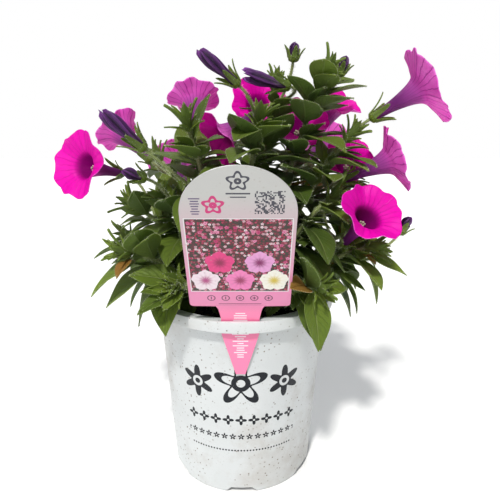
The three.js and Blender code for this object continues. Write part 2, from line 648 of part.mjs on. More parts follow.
function soilSolid(stems) {
  const inside = (z) => {
    const slope = (WALL_TOP_RADIUS - WALL_FOOT_RADIUS) / (POT_HEIGHT - WALL - 3.6);
    return WALL_FOOT_RADIUS + slope * (z - 3.6) - WALL - CLEARANCE - 0.25;
  };
  const floor = FOOT_HEIGHT + WALL + CLEARANCE;
  const profile = [
    [0, floor], [inside(floor) - 0.4, floor], [inside(SOIL_TOP - 1), SOIL_TOP - 1],
    [46, SOIL_TOP + 0.8], [26, SOIL_TOP], [0, SOIL_TOP + 1],
  ];
  const geometry = turned(profile, SOIL_SIDES);
  const position = geometry.getAttribute("position");
  for (let k = 0; k < position.count; k++) {
    const [x, y, z] = [position.getX(k), position.getY(k), position.getZ(k)];
    const bump = Math.sin(0.31 * x + 0.7) * Math.cos(0.27 * y) + 0.6 * Math.sin(0.53 * y + 0.41 * x);
    if (z > SOIL_TOP - 0.5) position.setZ(k, z + SOIL_ROUGHNESS * bump);
  }
  return stems.reduce((soil, stem) => soil.subtract(stem), solidOf(geometry));
}

function tagGeometry() {
  const arch = [0, 0.3, 0.55, 0.76, 0.9, 0.985];
  const stations = [
    [-TAG_BEND - TAG_TAIL_LENGTH, TAG_TAIL_TIP], [-TAG_BEND - 11, TAG_TAIL_HALF_WIDTH],
    [-TAG_BEND, TAG_TAIL_HALF_WIDTH], [-0.62 * TAG_BEND, TAG_TAIL_HALF_WIDTH + 0.4],
    [-0.3 * TAG_BEND, TAG_TAIL_HALF_WIDTH + 1.5], [-0.6, TAG_NECK_HALF_WIDTH], [0, TAG_HALF_WIDTH],
    ...arch.map((up) => [TAG_BODY + TAG_ARCH * up, TAG_HALF_WIDTH * Math.sqrt(1 - up * up)]),
  ];
  const rings = stations.map(([length, half]) => {
    const { at: [y, z], lean } = tagLine(length);
    const [dy, dz] = [(Math.cos(lean) * TAG_THICKNESS) / 2, (Math.sin(lean) * TAG_THICKNESS) / 2];
    return [[-half, y - dy, z - dz], [half, y - dy, z - dz], [half, y + dy, z + dz], [-half, y + dy, z + dz]];
  });
  return loft(rings);
}

function meshOf(name, solid, material) {
  const { vertProperties, triVerts } = solid.getMesh();
  const geometry = new THREE.BufferGeometry();
  geometry.setAttribute("position", new THREE.BufferAttribute(vertProperties, 3));
  geometry.setIndex(new THREE.BufferAttribute(triVerts, 1));
  const mesh = new THREE.Mesh(geometry, material);
  mesh.name = name;
  return mesh;
}

const material = (color, roughness) => new THREE.MeshStandardMaterial({ color, roughness, metalness: 0 });
const POT_PLASTIC = material(0xe9eeec, 0.45);
const TAG_PLASTIC = material(0xd9739f, 0.35);
const POTTING_MIX = material(0x2b211a, 0.95);
const GREEN = material(0x4d7a2c, 0.6);
const MAGENTA = material(0xe6009e, 0.5);
const PURPLE = material(0x4b1557, 0.55);
const ANTHER = material(0xc9c3b2, 0.7);

const plant = new THREE.Group();
const numbered = (name, k) => name + "_" + String(k).padStart(2, "0");

placeObstacles();
const stemsInSoil = [];
let blooms = 0;
let buds = 0;
SHOOTS.forEach((shoot, owner) => {
  const stem = stemCurve(shoot);
  const { along } = onCurve(stem, 1);
  const green = [whorled(stemRings(stem), shoot.tip, along, tuftOf(), false)];
  stemsInSoil.push(solidOf(loft(stemRings(stem, CLEARANCE + 0.05))));
  for (const leaf of leavesOf(shoot, owner)) {
    green.push(leafSolid(leaf, leaf.length > SMALL_LEAF ? LEAF_OUTLINE : SMALL_LEAF_OUTLINE));
  }
  for (const flower of shoot.flowers) {
    green.push(flowerStalkSolid(stem, flower));
    if (flower[0] === "bloom") {
      blooms += 1;
      plant.add(meshOf(numbered("corolla", blooms), solidOf(corollaGeometry(flower)), MAGENTA));
      plant.add(meshOf(numbered("stamens", blooms), solidOf(stamenGeometry(flower)), ANTHER));
    } else {
      buds += 1;
      plant.add(meshOf(numbered("bud", buds), solidOf(budGeometry(flower)), PURPLE));
    }
  }
  plant.add(meshOf(numbered("shoot", owner + 1), wasm.Manifold.union(green), GREEN));
});

plant.add(meshOf("pot", potSolid(), POT_PLASTIC));
plant.add(meshOf("potting_mix", soilSolid(stemsInSoil), POTTING_MIX));
plant.add(meshOf("plant_tag", solidOf(tagGeometry()), TAG_PLASTIC));

export default plant;
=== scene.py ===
# A trailing petunia in bloom, in a white 140 mm nursery pot, with its plant tag in the slot of the rim.
# Sizes are in millimetres, as on the bench, and each finished piece is scaled to metres when it is laid down.
import math
import random

import bmesh
import bpy
import numpy as np
from mathutils import Matrix, Vector, noise


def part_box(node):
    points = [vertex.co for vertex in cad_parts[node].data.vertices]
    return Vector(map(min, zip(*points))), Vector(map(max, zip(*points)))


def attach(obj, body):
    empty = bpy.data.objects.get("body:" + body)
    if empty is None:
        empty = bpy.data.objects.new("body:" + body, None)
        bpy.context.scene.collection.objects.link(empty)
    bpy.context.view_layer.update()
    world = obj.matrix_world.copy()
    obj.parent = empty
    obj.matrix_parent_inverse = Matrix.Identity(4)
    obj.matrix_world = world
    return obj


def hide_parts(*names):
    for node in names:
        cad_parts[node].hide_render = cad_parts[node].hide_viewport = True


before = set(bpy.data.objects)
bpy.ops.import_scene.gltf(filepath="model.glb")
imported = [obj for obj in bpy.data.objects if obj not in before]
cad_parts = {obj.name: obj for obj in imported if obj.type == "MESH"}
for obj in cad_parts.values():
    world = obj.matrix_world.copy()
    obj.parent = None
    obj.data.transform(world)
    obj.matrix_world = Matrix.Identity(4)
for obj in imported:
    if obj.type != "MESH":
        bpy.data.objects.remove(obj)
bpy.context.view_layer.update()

# Studio: the camera stands a little above the rim and looks down. A wide pale floor and pale air lie all
# round. A soft lamp hangs high in front and to the left, and two weak ones in front and behind.
CAMERA_TILT = 14.9
camera = bpy.data.objects.new("camera", bpy.data.cameras.new("camera"))
camera.data.lens = camera.data.sensor_width = 36
camera.data.clip_start = 0.01
camera.location = (0.0063, -0.369, 0.271)
camera.rotation_euler = (math.radians(90 - CAMERA_TILT), 0, 0)
bpy.context.scene.collection.objects.link(camera)
bpy.context.scene.camera = camera
bpy.context.scene.view_settings.view_transform = "Standard"


def lamp(name, kind, turned, strength, spread, tint=(1, 1, 1)):
    light = bpy.data.lights.new(name, kind)
    light.energy, light.color = strength, tint
    light.angle = spread
    holder = bpy.data.objects.new(name, light)
    holder.rotation_euler = [math.radians(a) for a in turned]
    bpy.context.scene.collection.objects.link(holder)


lamp("key_lamp", "SUN", (35, 0, -14), 2.9, 0.1, (1, 0.98, 0.94))
lamp("fill_lamp", "SUN", (62, 0, -24), 0.5, 1.2)
lamp("back_lamp", "SUN", (-42, 0, 24), 1.0, 0.5)


def node(tree, kind, inputs=(), **settings):
    """A shader node. An input is a plain value, the output of another node, or a wire that holds one."""
    made = tree.nodes.new(kind)
    for name, value in settings.items():
        setattr(made, name, value)
    for socket, value in dict(inputs).items():
        value = getattr(value, "socket", value)
        if isinstance(value, bpy.types.NodeSocket):
            tree.links.new(value, made.inputs[socket])
        else:
            made.inputs[socket].default_value = value
    return made


air = bpy.data.worlds.new("pale_air")
air.use_nodes = True
tree = air.node_tree
tree.nodes.clear()
seen = node(tree, "ShaderNodeBackground", {"Color": (1, 1, 1, 1), "Strength": 1.0})
felt = node(tree, "ShaderNodeBackground", {"Color": (0.9, 0.96, 1, 1), "Strength": 0.3})
straight = node(tree, "ShaderNodeLightPath").outputs["Is Camera Ray"]
sky = node(tree, "ShaderNodeMixShader", {0: straight, 1: felt.outputs[0], 2: seen.outputs[0]})
node(tree, "ShaderNodeOutputWorld", {"Surface": sky.outputs[0]})
bpy.context.scene.world = air


def finish(name, **surface):
    """A new material and its tree. surface sets the Principled shader's own sockets."""
    material = bpy.data.materials.new(name)
    material.use_nodes = True
    tree = material.node_tree
    tree.nodes.clear()
    out = node(tree, "ShaderNodeOutputMaterial")
    shader = node(tree, "ShaderNodeBsdfPrincipled", {k.replace("_", " "): v for k, v in surface.items()})
    tree.links.new(shader.outputs[0], out.inputs[0])
    return material, tree, shader


floor_white, tree, shader = finish("floor_white", Roughness=0.9)
grain = node(tree, "ShaderNodeTexNoise", {"Scale": 3.0})
tints = {0: grain.outputs[0], 6: (0.93, 0.93, 0.93, 1), 7: (0.96, 0.96, 0.96, 1)}
tint = node(tree, "ShaderNodeMix", tints, data_type="RGBA")
tree.links.new(tint.outputs[2], shader.inputs["Base Color"])
bm = bmesh.new()
bmesh.ops.create_grid(bm, x_segments=2, y_segments=2, size=3)
floor_mesh = bpy.data.meshes.new("floor")
bm.to_mesh(floor_mesh)
bm.free()
floor_mesh.materials.append(floor_white)
floor = bpy.data.objects.new("floor", floor_mesh)
bpy.context.scene.collection.objects.link(floor)

# Pot: one injection moulding in white polypropylene, a cone with a skirted rim that has a slot for the tag.
# Its floor is raised inside a foot with six notches, and a drain hole stands behind each notch.
POT_HEIGHT = 143
RIM_RADIUS = 70
WALL_TOP_RADIUS = 64
WALL_FOOT_RADIUS = 54.9
WALL = 1.4
FOOT_HEIGHT = 5
NOTCHES = 6
NOTCH_SIZE = (27, 14, 5.6)
NOTCH_TAPER = 0.44
DRAIN_RADIUS = 4.5
SLOT_SIZE = (29, 2.9, 8)
SLOT_AT = (0, -66.15, POT_HEIGHT - 2)
rim_under = POT_HEIGHT - WALL
skirt_under = POT_HEIGHT - 8
pot_profile = [
    (0, 0), (14, 0), (18, FOOT_HEIGHT), (WALL_FOOT_RADIUS - 4.1, FOOT_HEIGHT), (WALL_FOOT_RADIUS - 4.1, 0),
    (WALL_FOOT_RADIUS - 0.8, 0), (WALL_FOOT_RADIUS, 2.2), (WALL_TOP_RADIUS, rim_under),
    (RIM_RADIUS - WALL, rim_under), (RIM_RADIUS - WALL, skirt_under), (RIM_RADIUS, skirt_under),
    (RIM_RADIUS, POT_HEIGHT), (WALL_TOP_RADIUS - WALL, POT_HEIGHT),
    (WALL_FOOT_RADIUS - WALL, FOOT_HEIGHT + WALL), (17.4, FOOT_HEIGHT + WALL), (13.4, WALL), (0, WALL),
]


def spun(profile, sides, rounding):
    """A closed [radius, height] profile with rounded corners, turned about +Z."""
    bm = bmesh.new()
    points = [bm.verts.new((r, 0, z)) for r, z in profile]
    for a, b in zip(points, points[1:]):
        bm.edges.new((a, b))
    if rounding:
        bmesh.ops.bevel(
            bm, geom=points[1:-1], offset=rounding, segments=3, affect="VERTICES", profile=0.5, material=-1,
        )
    bmesh.ops.spin(
        bm, geom=bm.verts[:] + bm.edges[:], cent=(0, 0, 0), axis=(0, 0, 1), angle=2 * math.pi, steps=sides,
        use_merge=True,
    )
    bmesh.ops.remove_doubles(bm, verts=bm.verts, dist=0.001)
    bmesh.ops.recalc_face_normals(bm, faces=bm.faces)
    return bm


def carved(bm, cutters):
    """Cuts one closed bmesh out of another."""
    meshes = []
    for shape in (bm, cutters):
        mesh = bpy.data.meshes.new("rough")
        shape.to_mesh(mesh)
        shape.free()
        meshes.append(bpy.data.objects.new("rough", mesh))
        bpy.context.scene.collection.objects.link(meshes[-1])
    body, tool = meshes
    cut = body.modifiers.new("cut", "BOOLEAN")
    cut.operation, cut.solver, cut.object = "DIFFERENCE", "EXACT", tool
    done = bmesh.new()
    done.from_object(body, bpy.context.evaluated_depsgraph_get())
    for rough in meshes:
        bpy.data.objects.remove(rough)
    return done


def block(bm, at, size, turn=Matrix()):
    """A box round a place that is turned about the pot's axis."""
    matrix = turn @ Matrix.Translation(at) @ Matrix.Diagonal((*size, 1))
    return bmesh.ops.create_cube(bm, size=1, matrix=matrix)["verts"]


cutters = bmesh.new()
for k in range(NOTCHES):
    turn = Matrix.Rotation(k * 2 * math.pi / NOTCHES, 4, "Z")
    aside = turn @ Vector((1, 0, 0))
    for vert in block(cutters, (0, -54, 1.8), NOTCH_SIZE, turn):
        if vert.co.z > 2:
            vert.co -= aside * vert.co.dot(aside) * NOTCH_TAPER
    bmesh.ops.create_cone(
        cutters, cap_ends=True, segments=28, radius1=DRAIN_RADIUS, radius2=DRAIN_RADIUS, depth=8,
        matrix=turn @ Matrix.Translation((0, 14 - WALL_FOOT_RADIUS, FOOT_HEIGHT + WALL / 2)),
    )
block(cutters, SLOT_AT, SLOT_SIZE)
pot = carved(spun(pot_profile, 144, 0.45), cutters)

pot_white, tree, shader = finish("pot_white", Roughness=0.4, IOR=1.36)


class Wire:
    """A number on its way through a material, which can be added to, multiplied and compared."""

    def __init__(self, socket):
        self.socket = socket

    def by(self, operation, *others, clamp=False):
        terms = enumerate([self, *others])
        made = node(self.socket.node.id_data, "ShaderNodeMath", terms, operation=operation, use_clamp=clamp)
        return Wire(made.outputs[0])

    def __add__(self, other):
        return self.by("ADD", other)

    def __sub__(self, other):
        return self.by("SUBTRACT", other)

    def __mul__(self, other):
        return self.by("MULTIPLY", other)

    def __truediv__(self, other):
        return self.by("DIVIDE", other)

    def size(self):
        """Without its sign."""
        return self.by("ABSOLUTE")

    def most(self, other):
        return self.by("MAXIMUM", other)

    def over(self, other):
        return self.by("GREATER_THAN", other)

    def under(self, other):
        return self.by("LESS_THAN", other)

    def near(self, low, high):
        return self.over(low) * self.under(high)

    def held(self):
        """Kept between 0 and 1."""
        return self.by("ADD", 0.0, clamp=True)

    def ramp(self, low, high):
        return ((self - low) / (high - low)).held()

    def turned(self):
        """One where it was nothing, and nothing where it was one."""
        return self.by("MULTIPLY", -1.0) + 1.0


def object_place(tree):
    """The place on the object, in metres."""
    return node(tree, "ShaderNodeTexCoord").outputs["Object"]


def split(socket):
    """The three numbers of a place or a colour."""
    parts = node(socket.node.id_data, "ShaderNodeSeparateXYZ", {0: socket})
    return [Wire(s) for s in parts.outputs]


def blended(share, low, high):
    """One colour laid over another by a share from 0 to 1. A colour is a tuple or another blend."""
    low, high = ((*c, 1) if isinstance(c, tuple) else c for c in (low, high))
    mix = node(share.socket.node.id_data, "ShaderNodeMix", {0: share, 6: low, 7: high}, data_type="RGBA")
    return mix.outputs[2]


def cloud(socket, scale, detail=3.0, rough=0.55):
    inputs = {"Vector": socket, "Scale": scale, "Detail": detail, "Roughness": rough}
    return Wire(node(socket.node.id_data, "ShaderNodeTexNoise", inputs).outputs[0])


def cells(socket, scale, feature="F1"):
    inputs = {"Vector": socket, "Scale": scale}
    made = node(socket.node.id_data, "ShaderNodeTexVoronoi", inputs, feature=feature)
    return Wire(made.outputs["Distance"])


def reach_of(x, y):
    return (x * x + y * y).by("SQRT")


def effect(name, takes, gives):
    """Starts an effect that several materials share: a node group, its named inputs and its end. An input
    without a value is a place, and the others are numbers."""
    group = bpy.data.node_groups.new(name, "ShaderNodeTree")
    for title, value in takes.items():
        kind = "NodeSocketVector" if value is None else "NodeSocketFloat"
        socket = group.interface.new_socket(title, in_out="INPUT", socket_type=kind)
        if value is not None:
            socket.default_value = value
    for title in gives:
        group.interface.new_socket(title, in_out="OUTPUT", socket_type="NodeSocketFloat")
    start = node(group, "NodeGroupInput").outputs
    taken = [start[title] if value is None else Wire(start[title]) for title, value in takes.items()]
    return group, taken, node(group, "NodeGroupOutput")


def ended(group, end, **results):
    for title, value in results.items():
        group.links.new(value.socket, end.inputs[title])


def used(group, socket, **values):
    """Places an effect in a socket's tree, with that socket as its Place, and returns what it gives."""
    made = node(socket.node.id_data, "ShaderNodeGroup", {"Place": socket, **values}, node_tree=group)
    return [Wire(s) for s in made.outputs]


def raised(shader, height, distance, strength=1.0):
    inputs = {"Height": height, "Distance": distance, "Strength": strength}
    joined(node(shader.id_data, "ShaderNodeBump", inputs).outputs[0], shader, "Normal")


def joined(value, shader, name):
    shader.id_data.links.new(getattr(value, "socket", value), shader.inputs[name])


# Moulded or rolled plastic: a fine grain with slow waves in it, and smudges that dull its gloss.
takes = {"Place": None, "Grain": 650.0, "Wave": 45.0}
plastic_grain, (at, grain, wave), end = effect("plastic_grain", takes, ["Relief", "Smudge"])
relief = cloud(at, grain, 4.0) * 0.6 + cloud(at, wave) * 0.9
ended(plastic_grain, end, Relief=relief, Smudge=cloud(at, 60.0, 5.0))

# Garden dust: a thin film in soft patches, and small dark specks of splashed soil.
takes = {"Place": None, "Film": 0.5, "Speck": 0.5}
garden_dust, (at, film, speck), end = effect("garden_dust", takes, ["Dust", "Specks"])
spots = cells(at, 300.0).ramp(0.22, 0.1) * cloud(at, 34.0).ramp(0.4, 0.56)
spots = spots.most(cells(at, 700.0).ramp(0.2, 0.08) * cloud(at, 90.0).ramp(0.5, 0.66) * 0.7)
ended(garden_dust, end, Dust=cloud(at, 14.0, 6.0, 0.7).ramp(0.48, 0.78) * film, Specks=spots * speck)

# The ornament is printed on the front of the wall. Its places are the way round the wall and the height, in
# millimetres.
ORNAMENT_HEIGHT = 94.0
INK = (0.003, 0.005, 0.010)
place = object_place(tree)
x, y, z = split(place)
around = x.by("ARCTAN2", y * -1.0) * 59.0
height = z * 1000.0


def petals_at(x, y, radius, petals, depth):
    """A filled flower shape, 1 inside its outline, and the distance from its middle."""
    reach = reach_of(x, y)
    edge = ((x.by("ARCTAN2", y) * petals).by("COSINE") * depth + (1.0 - depth)) * radius
    return reach.under(edge), reach


big, reach = petals_at(around, height - ORNAMENT_HEIGHT, 19.0, 5.0, 0.3)
ink = big * (big * petals_at(around, height - ORNAMENT_HEIGHT, 13.5, 5.0, 0.3)[0]).turned()
ink = ink.most(reach.near(3.0, 6.5))
for aside in (-31.0, 31.0):
    side, reach = petals_at(around - aside, height - (ORNAMENT_HEIGHT - 2.0), 12.5, 6.0, 0.28)
    ink = ink.most(side * reach.over(4.0)).most(reach.under(2.0))
for level, pitch, size, petals in ((64.0, 9.2, 4.1, 4.0), (50.0, 6.1, 2.6, 5.0)):
    along = (around / pitch).by("ROUND") * pitch
    small, reach = petals_at(around - along, height - level, size, petals, 0.3)
    ink = ink.most(small * reach.over(size * 0.2) * around.size().under(42.0))
along = (around / 2.3).by("ROUND") * 2.3
dots = ((around - along) * (around - along) + (height - 38.0) * (height - 38.0)).under(0.5)
ink = ink.most(dots * around.size().under(40.0))
ink = ink * cloud(place, 900.0).ramp(0.22, 0.3) * y.under(0.0)
film = height.ramp(150.0, 112.0).most(height.ramp(34.0, 0.0)) * 0.6 + 0.25
dirt, specks = used(garden_dust, place, Film=film, Speck=0.95)
relief, smudge = used(plastic_grain, place, Grain=650.0, Wave=45.0)
white = blended(cloud(place, 22.0, 4.0), (0.56, 0.585, 0.595), (0.66, 0.68, 0.685))
soiled = blended(dirt * 0.8, white, (0.33, 0.27, 0.21))
soiled = blended(specks, soiled, (0.16, 0.12, 0.085))
joined(blended(ink * 0.997, soiled, INK), shader, "Base Color")
joined(smudge * 0.25 + dirt * 0.3 + 0.26, shader, "Roughness")
raised(shader, relief, 0.0004, 0.5)


def laid(bm, name, materials, replaced=(), smooth=60):
    """Scales a finished bmesh to metres and lays it down as a piece that rides on the pot."""
    bmesh.ops.scale(bm, vec=(0.001, 0.001, 0.001), verts=bm.verts)
    mesh = bpy.data.meshes.new(name)
    bm.to_mesh(mesh)
    bm.free()
    for material in materials:
        mesh.materials.append(material)
    mesh.shade_smooth()
    mesh.set_sharp_from_angle(angle=math.radians(smooth))
    piece = bpy.data.objects.new(name, mesh)
    bpy.context.scene.collection.objects.link(piece)
    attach(piece, "root")
    if replaced:
        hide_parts(*replaced)
    return piece


laid(pot, "pot", [pot_white], ["pot"], smooth=35)

# Potting mix: peat and composted bark, pressed in to a little below the rim. It is crumbly and nearly black
# where it is damp. Loose crumbs, bark chips and a few grains of white perlite lie on top.
SOIL_TOP = 127
CLEARANCE = 0.3
BEVEL_TOP = 3.6
CRUMBS = 1250
CHIPS = 190
GRAINS = 60
STREWN_RADIUS = 61


def inside_radius(z):
    slope = (WALL_TOP_RADIUS - WALL_FOOT_RADIUS) / (rim_under - BEVEL_TOP)
    return WALL_FOOT_RADIUS + slope * (z - BEVEL_TOP) - WALL - CLEARANCE - 0.25


def soil_level(x, y):
    bump = math.sin(0.31 * x + 0.7) * math.cos(0.27 * y) + 0.6 * math.sin(0.53 * y + 0.41 * x)
    crumbs = noise.fractal(Vector((x, y, 3)) * 0.16, 0.9, 2.1, 4)
    return SOIL_TOP + 0.5 + 0.75 * bump + 1.1 * crumbs


soil_floor = FOOT_HEIGHT + WALL + CLEARANCE
edge = inside_radius(SOIL_TOP - 1)
soil_profile = [(0, soil_floor), (inside_radius(soil_floor) - 0.4, soil_floor), (edge, SOIL_TOP - 1)]
soil_profile += [(edge - 1.45 * k, SOIL_TOP) for k in range(1, int(edge / 1.45) + 1)] + [(0, SOIL_TOP)]
soil = spun(soil_profile, 120, 0)
for vert in soil.verts:
    if vert.co.z > SOIL_TOP - 0.5:
        vert.co.z = soil_level(vert.co.x, vert.co.y)

damp_mix, tree, shader = finish("damp_mix", Roughness=0.95)
place = object_place(tree)
# Crumbly stuff: rounded grains with hollows between them, over slow swellings.
crumbly, (at, grains), end = effect("crumbly", {"Place": None, "Grains": 520.0}, ["Grain", "Clod", "Relief"])
crumb, clod = cells(at, grains), cloud(at, grains * 0.25, 6.0, 0.7)
ended(crumbly, end, Grain=crumb, Clod=clod, Relief=clod - crumb * 0.6)
crumb, clod, relief = used(crumbly, place, Grains=520.0)
dark = blended(clod.ramp(0.35, 0.7), (0.012, 0.009, 0.007), (0.055, 0.038, 0.026))
joined(blended(crumb.ramp(0.35, 0.1) * 0.6, dark, (0.09, 0.06, 0.04)), shader, "Base Color")
raised(shader, relief, 0.0016)
laid(soil, "potting_mix", [damp_mix], ["potting_mix"], smooth=180)

# One run of draws places and turns every loose or grown piece from here on.
hand = random.Random(7)


def strewn(template, places):
    """A bmesh with one copy of a small template mesh at each place, a 4x4 matrix."""
    bm = bmesh.new()
    bm.from_mesh(template)
    count = len(template.vertices) * len(places)
    while len(bm.verts) < count:
        bmesh.ops.duplicate(bm, geom=bm.verts[:] + bm.edges[:] + bm.faces[:])
    bm.verts.ensure_lookup_table()
    bmesh.ops.delete(bm, geom=bm.verts[count:], context="VERTS")
    corners = np.array([(*vert.co, 1) for vert in template.vertices])
    frames = np.array([list(map(list, place)) for place in places])
    spots = np.einsum("nij,kj->nki", frames, corners)
    for vert, spot in zip(bm.verts, spots.reshape(-1, 4)[:, :3]):
        vert.co = spot
    return bm


def placed(at, size, turn):
    return Matrix.Translation(at) @ turn @ Matrix.Diagonal((*size, 1))


def any_turn(low=0, high=6.28):
    """A turn by any angle, and then a tilt between two."""
    return Matrix.Rotation(hand.uniform(0, 6.28), 4, "Z") @ Matrix.Rotation(hand.uniform(low, high), 4, "X")


def template_of(name, shape):
    mesh = bpy.data.meshes.new(name)
    shape.to_mesh(mesh)
    shape.free()
    return mesh


lump = bmesh.new()
bmesh.ops.create_icosphere(lump, subdivisions=1, radius=1)
for vert in lump.verts:
    vert.co *= 0.8 + 0.4 * noise.noise(vert.co * 3)
lump = template_of("lump", lump)
chip = bmesh.new()
bmesh.ops.create_cube(chip, size=1.6)
bmesh.ops.bevel(chip, geom=chip.edges[:], offset=0.25, segments=1, affect="EDGES", profile=0.5, material=-1)
chip = template_of("chip", chip)
crumbs, bark, perlite = [], [], []
for k in range(CRUMBS + CHIPS + GRAINS):
    reach, turn = STREWN_RADIUS * math.sqrt(hand.random()), hand.uniform(0, 2 * math.pi)
    x, y = reach * math.cos(turn), reach * math.sin(turn)
    level = soil_level(x, y)
    if k < CRUMBS:
        size = hand.uniform(0.5, 1.5)
        crumbs.append(placed((x, y, level + size * 0.3), (size, size * 0.9, size * 0.7), any_turn()))
    elif k < CRUMBS + CHIPS:
        size = hand.uniform(0.9, 2.6)
        flat_turn = any_turn(-0.5, 0.5)
        bark.append(placed((x * 0.95, y * 0.95, level + 0.5), (size, size * 0.6, 0.45), flat_turn))
    else:
        size = hand.uniform(0.6, 1.3)
        perlite.append(placed((x, y, level + size * 0.4), (size, size, size * 0.8), any_turn()))
crumbs, bark, perlite = strewn(lump, crumbs), strewn(chip, bark), strewn(lump, perlite)

laid(crumbs, "soil_crumbs", [damp_mix], smooth=40)
bark_brown, tree, shader = finish("bark_brown", Roughness=0.85)
place = object_place(tree)
fibre = cloud(node(tree, "ShaderNodeMapping", {"Vector": place, "Scale": (1, 6, 1)}).outputs[0], 260.0, 5.0)
_, clod, relief = used(crumbly, place, Grains=900.0)
joined(blended(fibre * 0.7 + clod * 0.3, (0.03, 0.017, 0.01), (0.16, 0.09, 0.05)), shader, "Base Color")
raised(shader, fibre + relief * 0.4, 0.0005)
laid(bark, "bark_chips", [bark_brown], smooth=30)
perlite_white, tree, shader = finish("perlite_white", Roughness=0.9)
place = object_place(tree)
foam, _, relief = used(crumbly, place, Grains=1600.0)
joined(blended(foam, (0.72, 0.7, 0.66), (0.4, 0.38, 0.34)), shader, "Base Color")
raised(shader, relief, 0.0004)
laid(perlite, "perlite_grains", [perlite_white], smooth=40)

# Plant tag: a label die cut from 0.7 mm plastic sheet, printed on its front, with an arched head and a narrow
# tail. The tail stands in the slot of the rim, and the head leans forward from a soft bend just above it.
TAG_THICKNESS = 0.7
TAG_HALF_WIDTH = 32
TAG_ARCH = 31
TAG_BODY = 75
TAG_NECK_HALF_WIDTH = 15.6
TAG_TAIL_HALF_WIDTH = 12.6
TAG_TAIL_TIP = 3.2
TAG_LEAN = math.radians(28)
TAG_TAIL_LEAN = math.radians(4)
TAG_BEND = 10
TAG_TAIL_LENGTH = 42
TAG_TAIL_START = (-63.2, 102.6)
TAG_CORNER = 2.5
TAG_FOOT = -TAG_BEND - TAG_TAIL_LENGTH
TAG_TOP = TAG_BODY + TAG_ARCH
SHEET = (80, 160)


def tag_line(length):
    """A point (y, z) on the tag's middle and its lean, at a length along the tag from its shoulder."""
    up = length - TAG_FOOT
    straight = min(up, TAG_TAIL_LENGTH)
    y = TAG_TAIL_START[0] - straight * math.sin(TAG_TAIL_LEAN)
    z = TAG_TAIL_START[1] + straight * math.cos(TAG_TAIL_LEAN)
    bent = max(0, min(up - TAG_TAIL_LENGTH, TAG_BEND)) / TAG_BEND
    lean = TAG_TAIL_LEAN + (TAG_LEAN - TAG_TAIL_LEAN) * bent
    middle = (TAG_TAIL_LEAN + lean) / 2
    y -= bent * TAG_BEND * math.sin(middle)
    z += bent * TAG_BEND * math.cos(middle)
    rest = max(0, length)
    return y - rest * math.sin(TAG_LEAN), z + rest * math.cos(TAG_LEAN), lean


def tag_half(length):
    if length > TAG_BODY:
        up = (length - TAG_BODY) / TAG_ARCH
        return TAG_HALF_WIDTH * math.sqrt(max(0, 1 - up * up))
    if length >= 0:
        short = max(0, TAG_CORNER - length)
        return TAG_HALF_WIDTH - TAG_CORNER + math.sqrt(TAG_CORNER**2 - short**2)
    steps = [
        (TAG_FOOT, TAG_TAIL_TIP), (-TAG_BEND - 11, TAG_TAIL_HALF_WIDTH), (-TAG_BEND, TAG_TAIL_HALF_WIDTH),
        (-0.3 * TAG_BEND, TAG_TAIL_HALF_WIDTH + 1.5), (-0.3, TAG_NECK_HALF_WIDTH),
        (0, TAG_HALF_WIDTH - TAG_CORNER),
    ]
    return float(np.interp(length, *zip(*steps)))


lengths = list(np.linspace(TAG_FOOT, -TAG_BEND, 18)) + list(np.linspace(-TAG_BEND, -0.3, 12)[1:])
lengths += [0, 0.15, 0.5, 1, 1.7, TAG_CORNER] + list(np.linspace(TAG_CORNER, TAG_BODY, 22)[1:])
lengths += [TAG_BODY + TAG_ARCH * math.sin(a) for a in np.linspace(0, math.pi / 2 - 0.02, 20)[1:]]
tag = bmesh.new()
tag.loops.layers.uv.new("sheet")
bmesh.ops.create_grid(tag, x_segments=16, y_segments=len(lengths) - 1, size=0.5, calc_uvs=True)
sheet = tag.loops.layers.uv["sheet"]
for vert in tag.verts:
    length = lengths[round((vert.co.y + 0.5) * (len(lengths) - 1))]
    y, z, lean = tag_line(length)
    x = 2 * vert.co.x * tag_half(length)
    for loop in vert.link_loops:
        loop[sheet].uv = (x / SHEET[0] + 0.5, (length - TAG_FOOT) / SHEET[1])
    vert.co = (x, y, z)
bmesh.ops.recalc_face_normals(tag, faces=tag.faces)
if sum(f.normal.y for f in tag.faces) > 0:
    bmesh.ops.reverse_faces(tag, faces=tag.faces)
bmesh.ops.translate(tag, verts=tag.verts, vec=(0, -TAG_THICKNESS / 2, TAG_THICKNESS / 6))
bmesh.ops.solidify(tag, geom=tag.faces[:], thickness=TAG_THICKNESS)
bmesh.ops.recalc_face_normals(tag, faces=tag.faces)
for face in tag.faces:
    face.material_index = 0 if face.normal.y < -0.3 else 1

tag_print, tree, shader = finish("tag_print", Roughness=0.3, Coat_Weight=0.25, Coat_Roughness=0.15)


def own_map(tree, name):
    return node(tree, "ShaderNodeUVMap", uv_map=name).outputs[0]


across, length, _ = split(own_map(tree, "sheet"))
across, length = (across - 0.5) * SHEET[0], length * SHEET[1] + TAG_FOOT
paper = blended(length.ramp(14.0, 88.0), (0.76, 0.24, 0.44), (0.50, 0.50, 0.485))
paper = blended(length.ramp(4.0, -10.0), paper, (0.86, 0.20, 0.38))


def box_at(left, right, low, high):
    return across.near(left, right) * length.near(low, high)


def flower_line(x, y, radius, width):
    """A thin outline of a flower with five lobes and a ring in its middle, round the place of x 0 and y 0."""
    reach = reach_of(x, y)
    edge = ((x.by("ARCTAN2", y) * 5.0).by("COSINE") * 0.2 + 0.8) * radius
    return (reach - edge).size().under(width).most((reach - radius * 0.22).size().under(width))


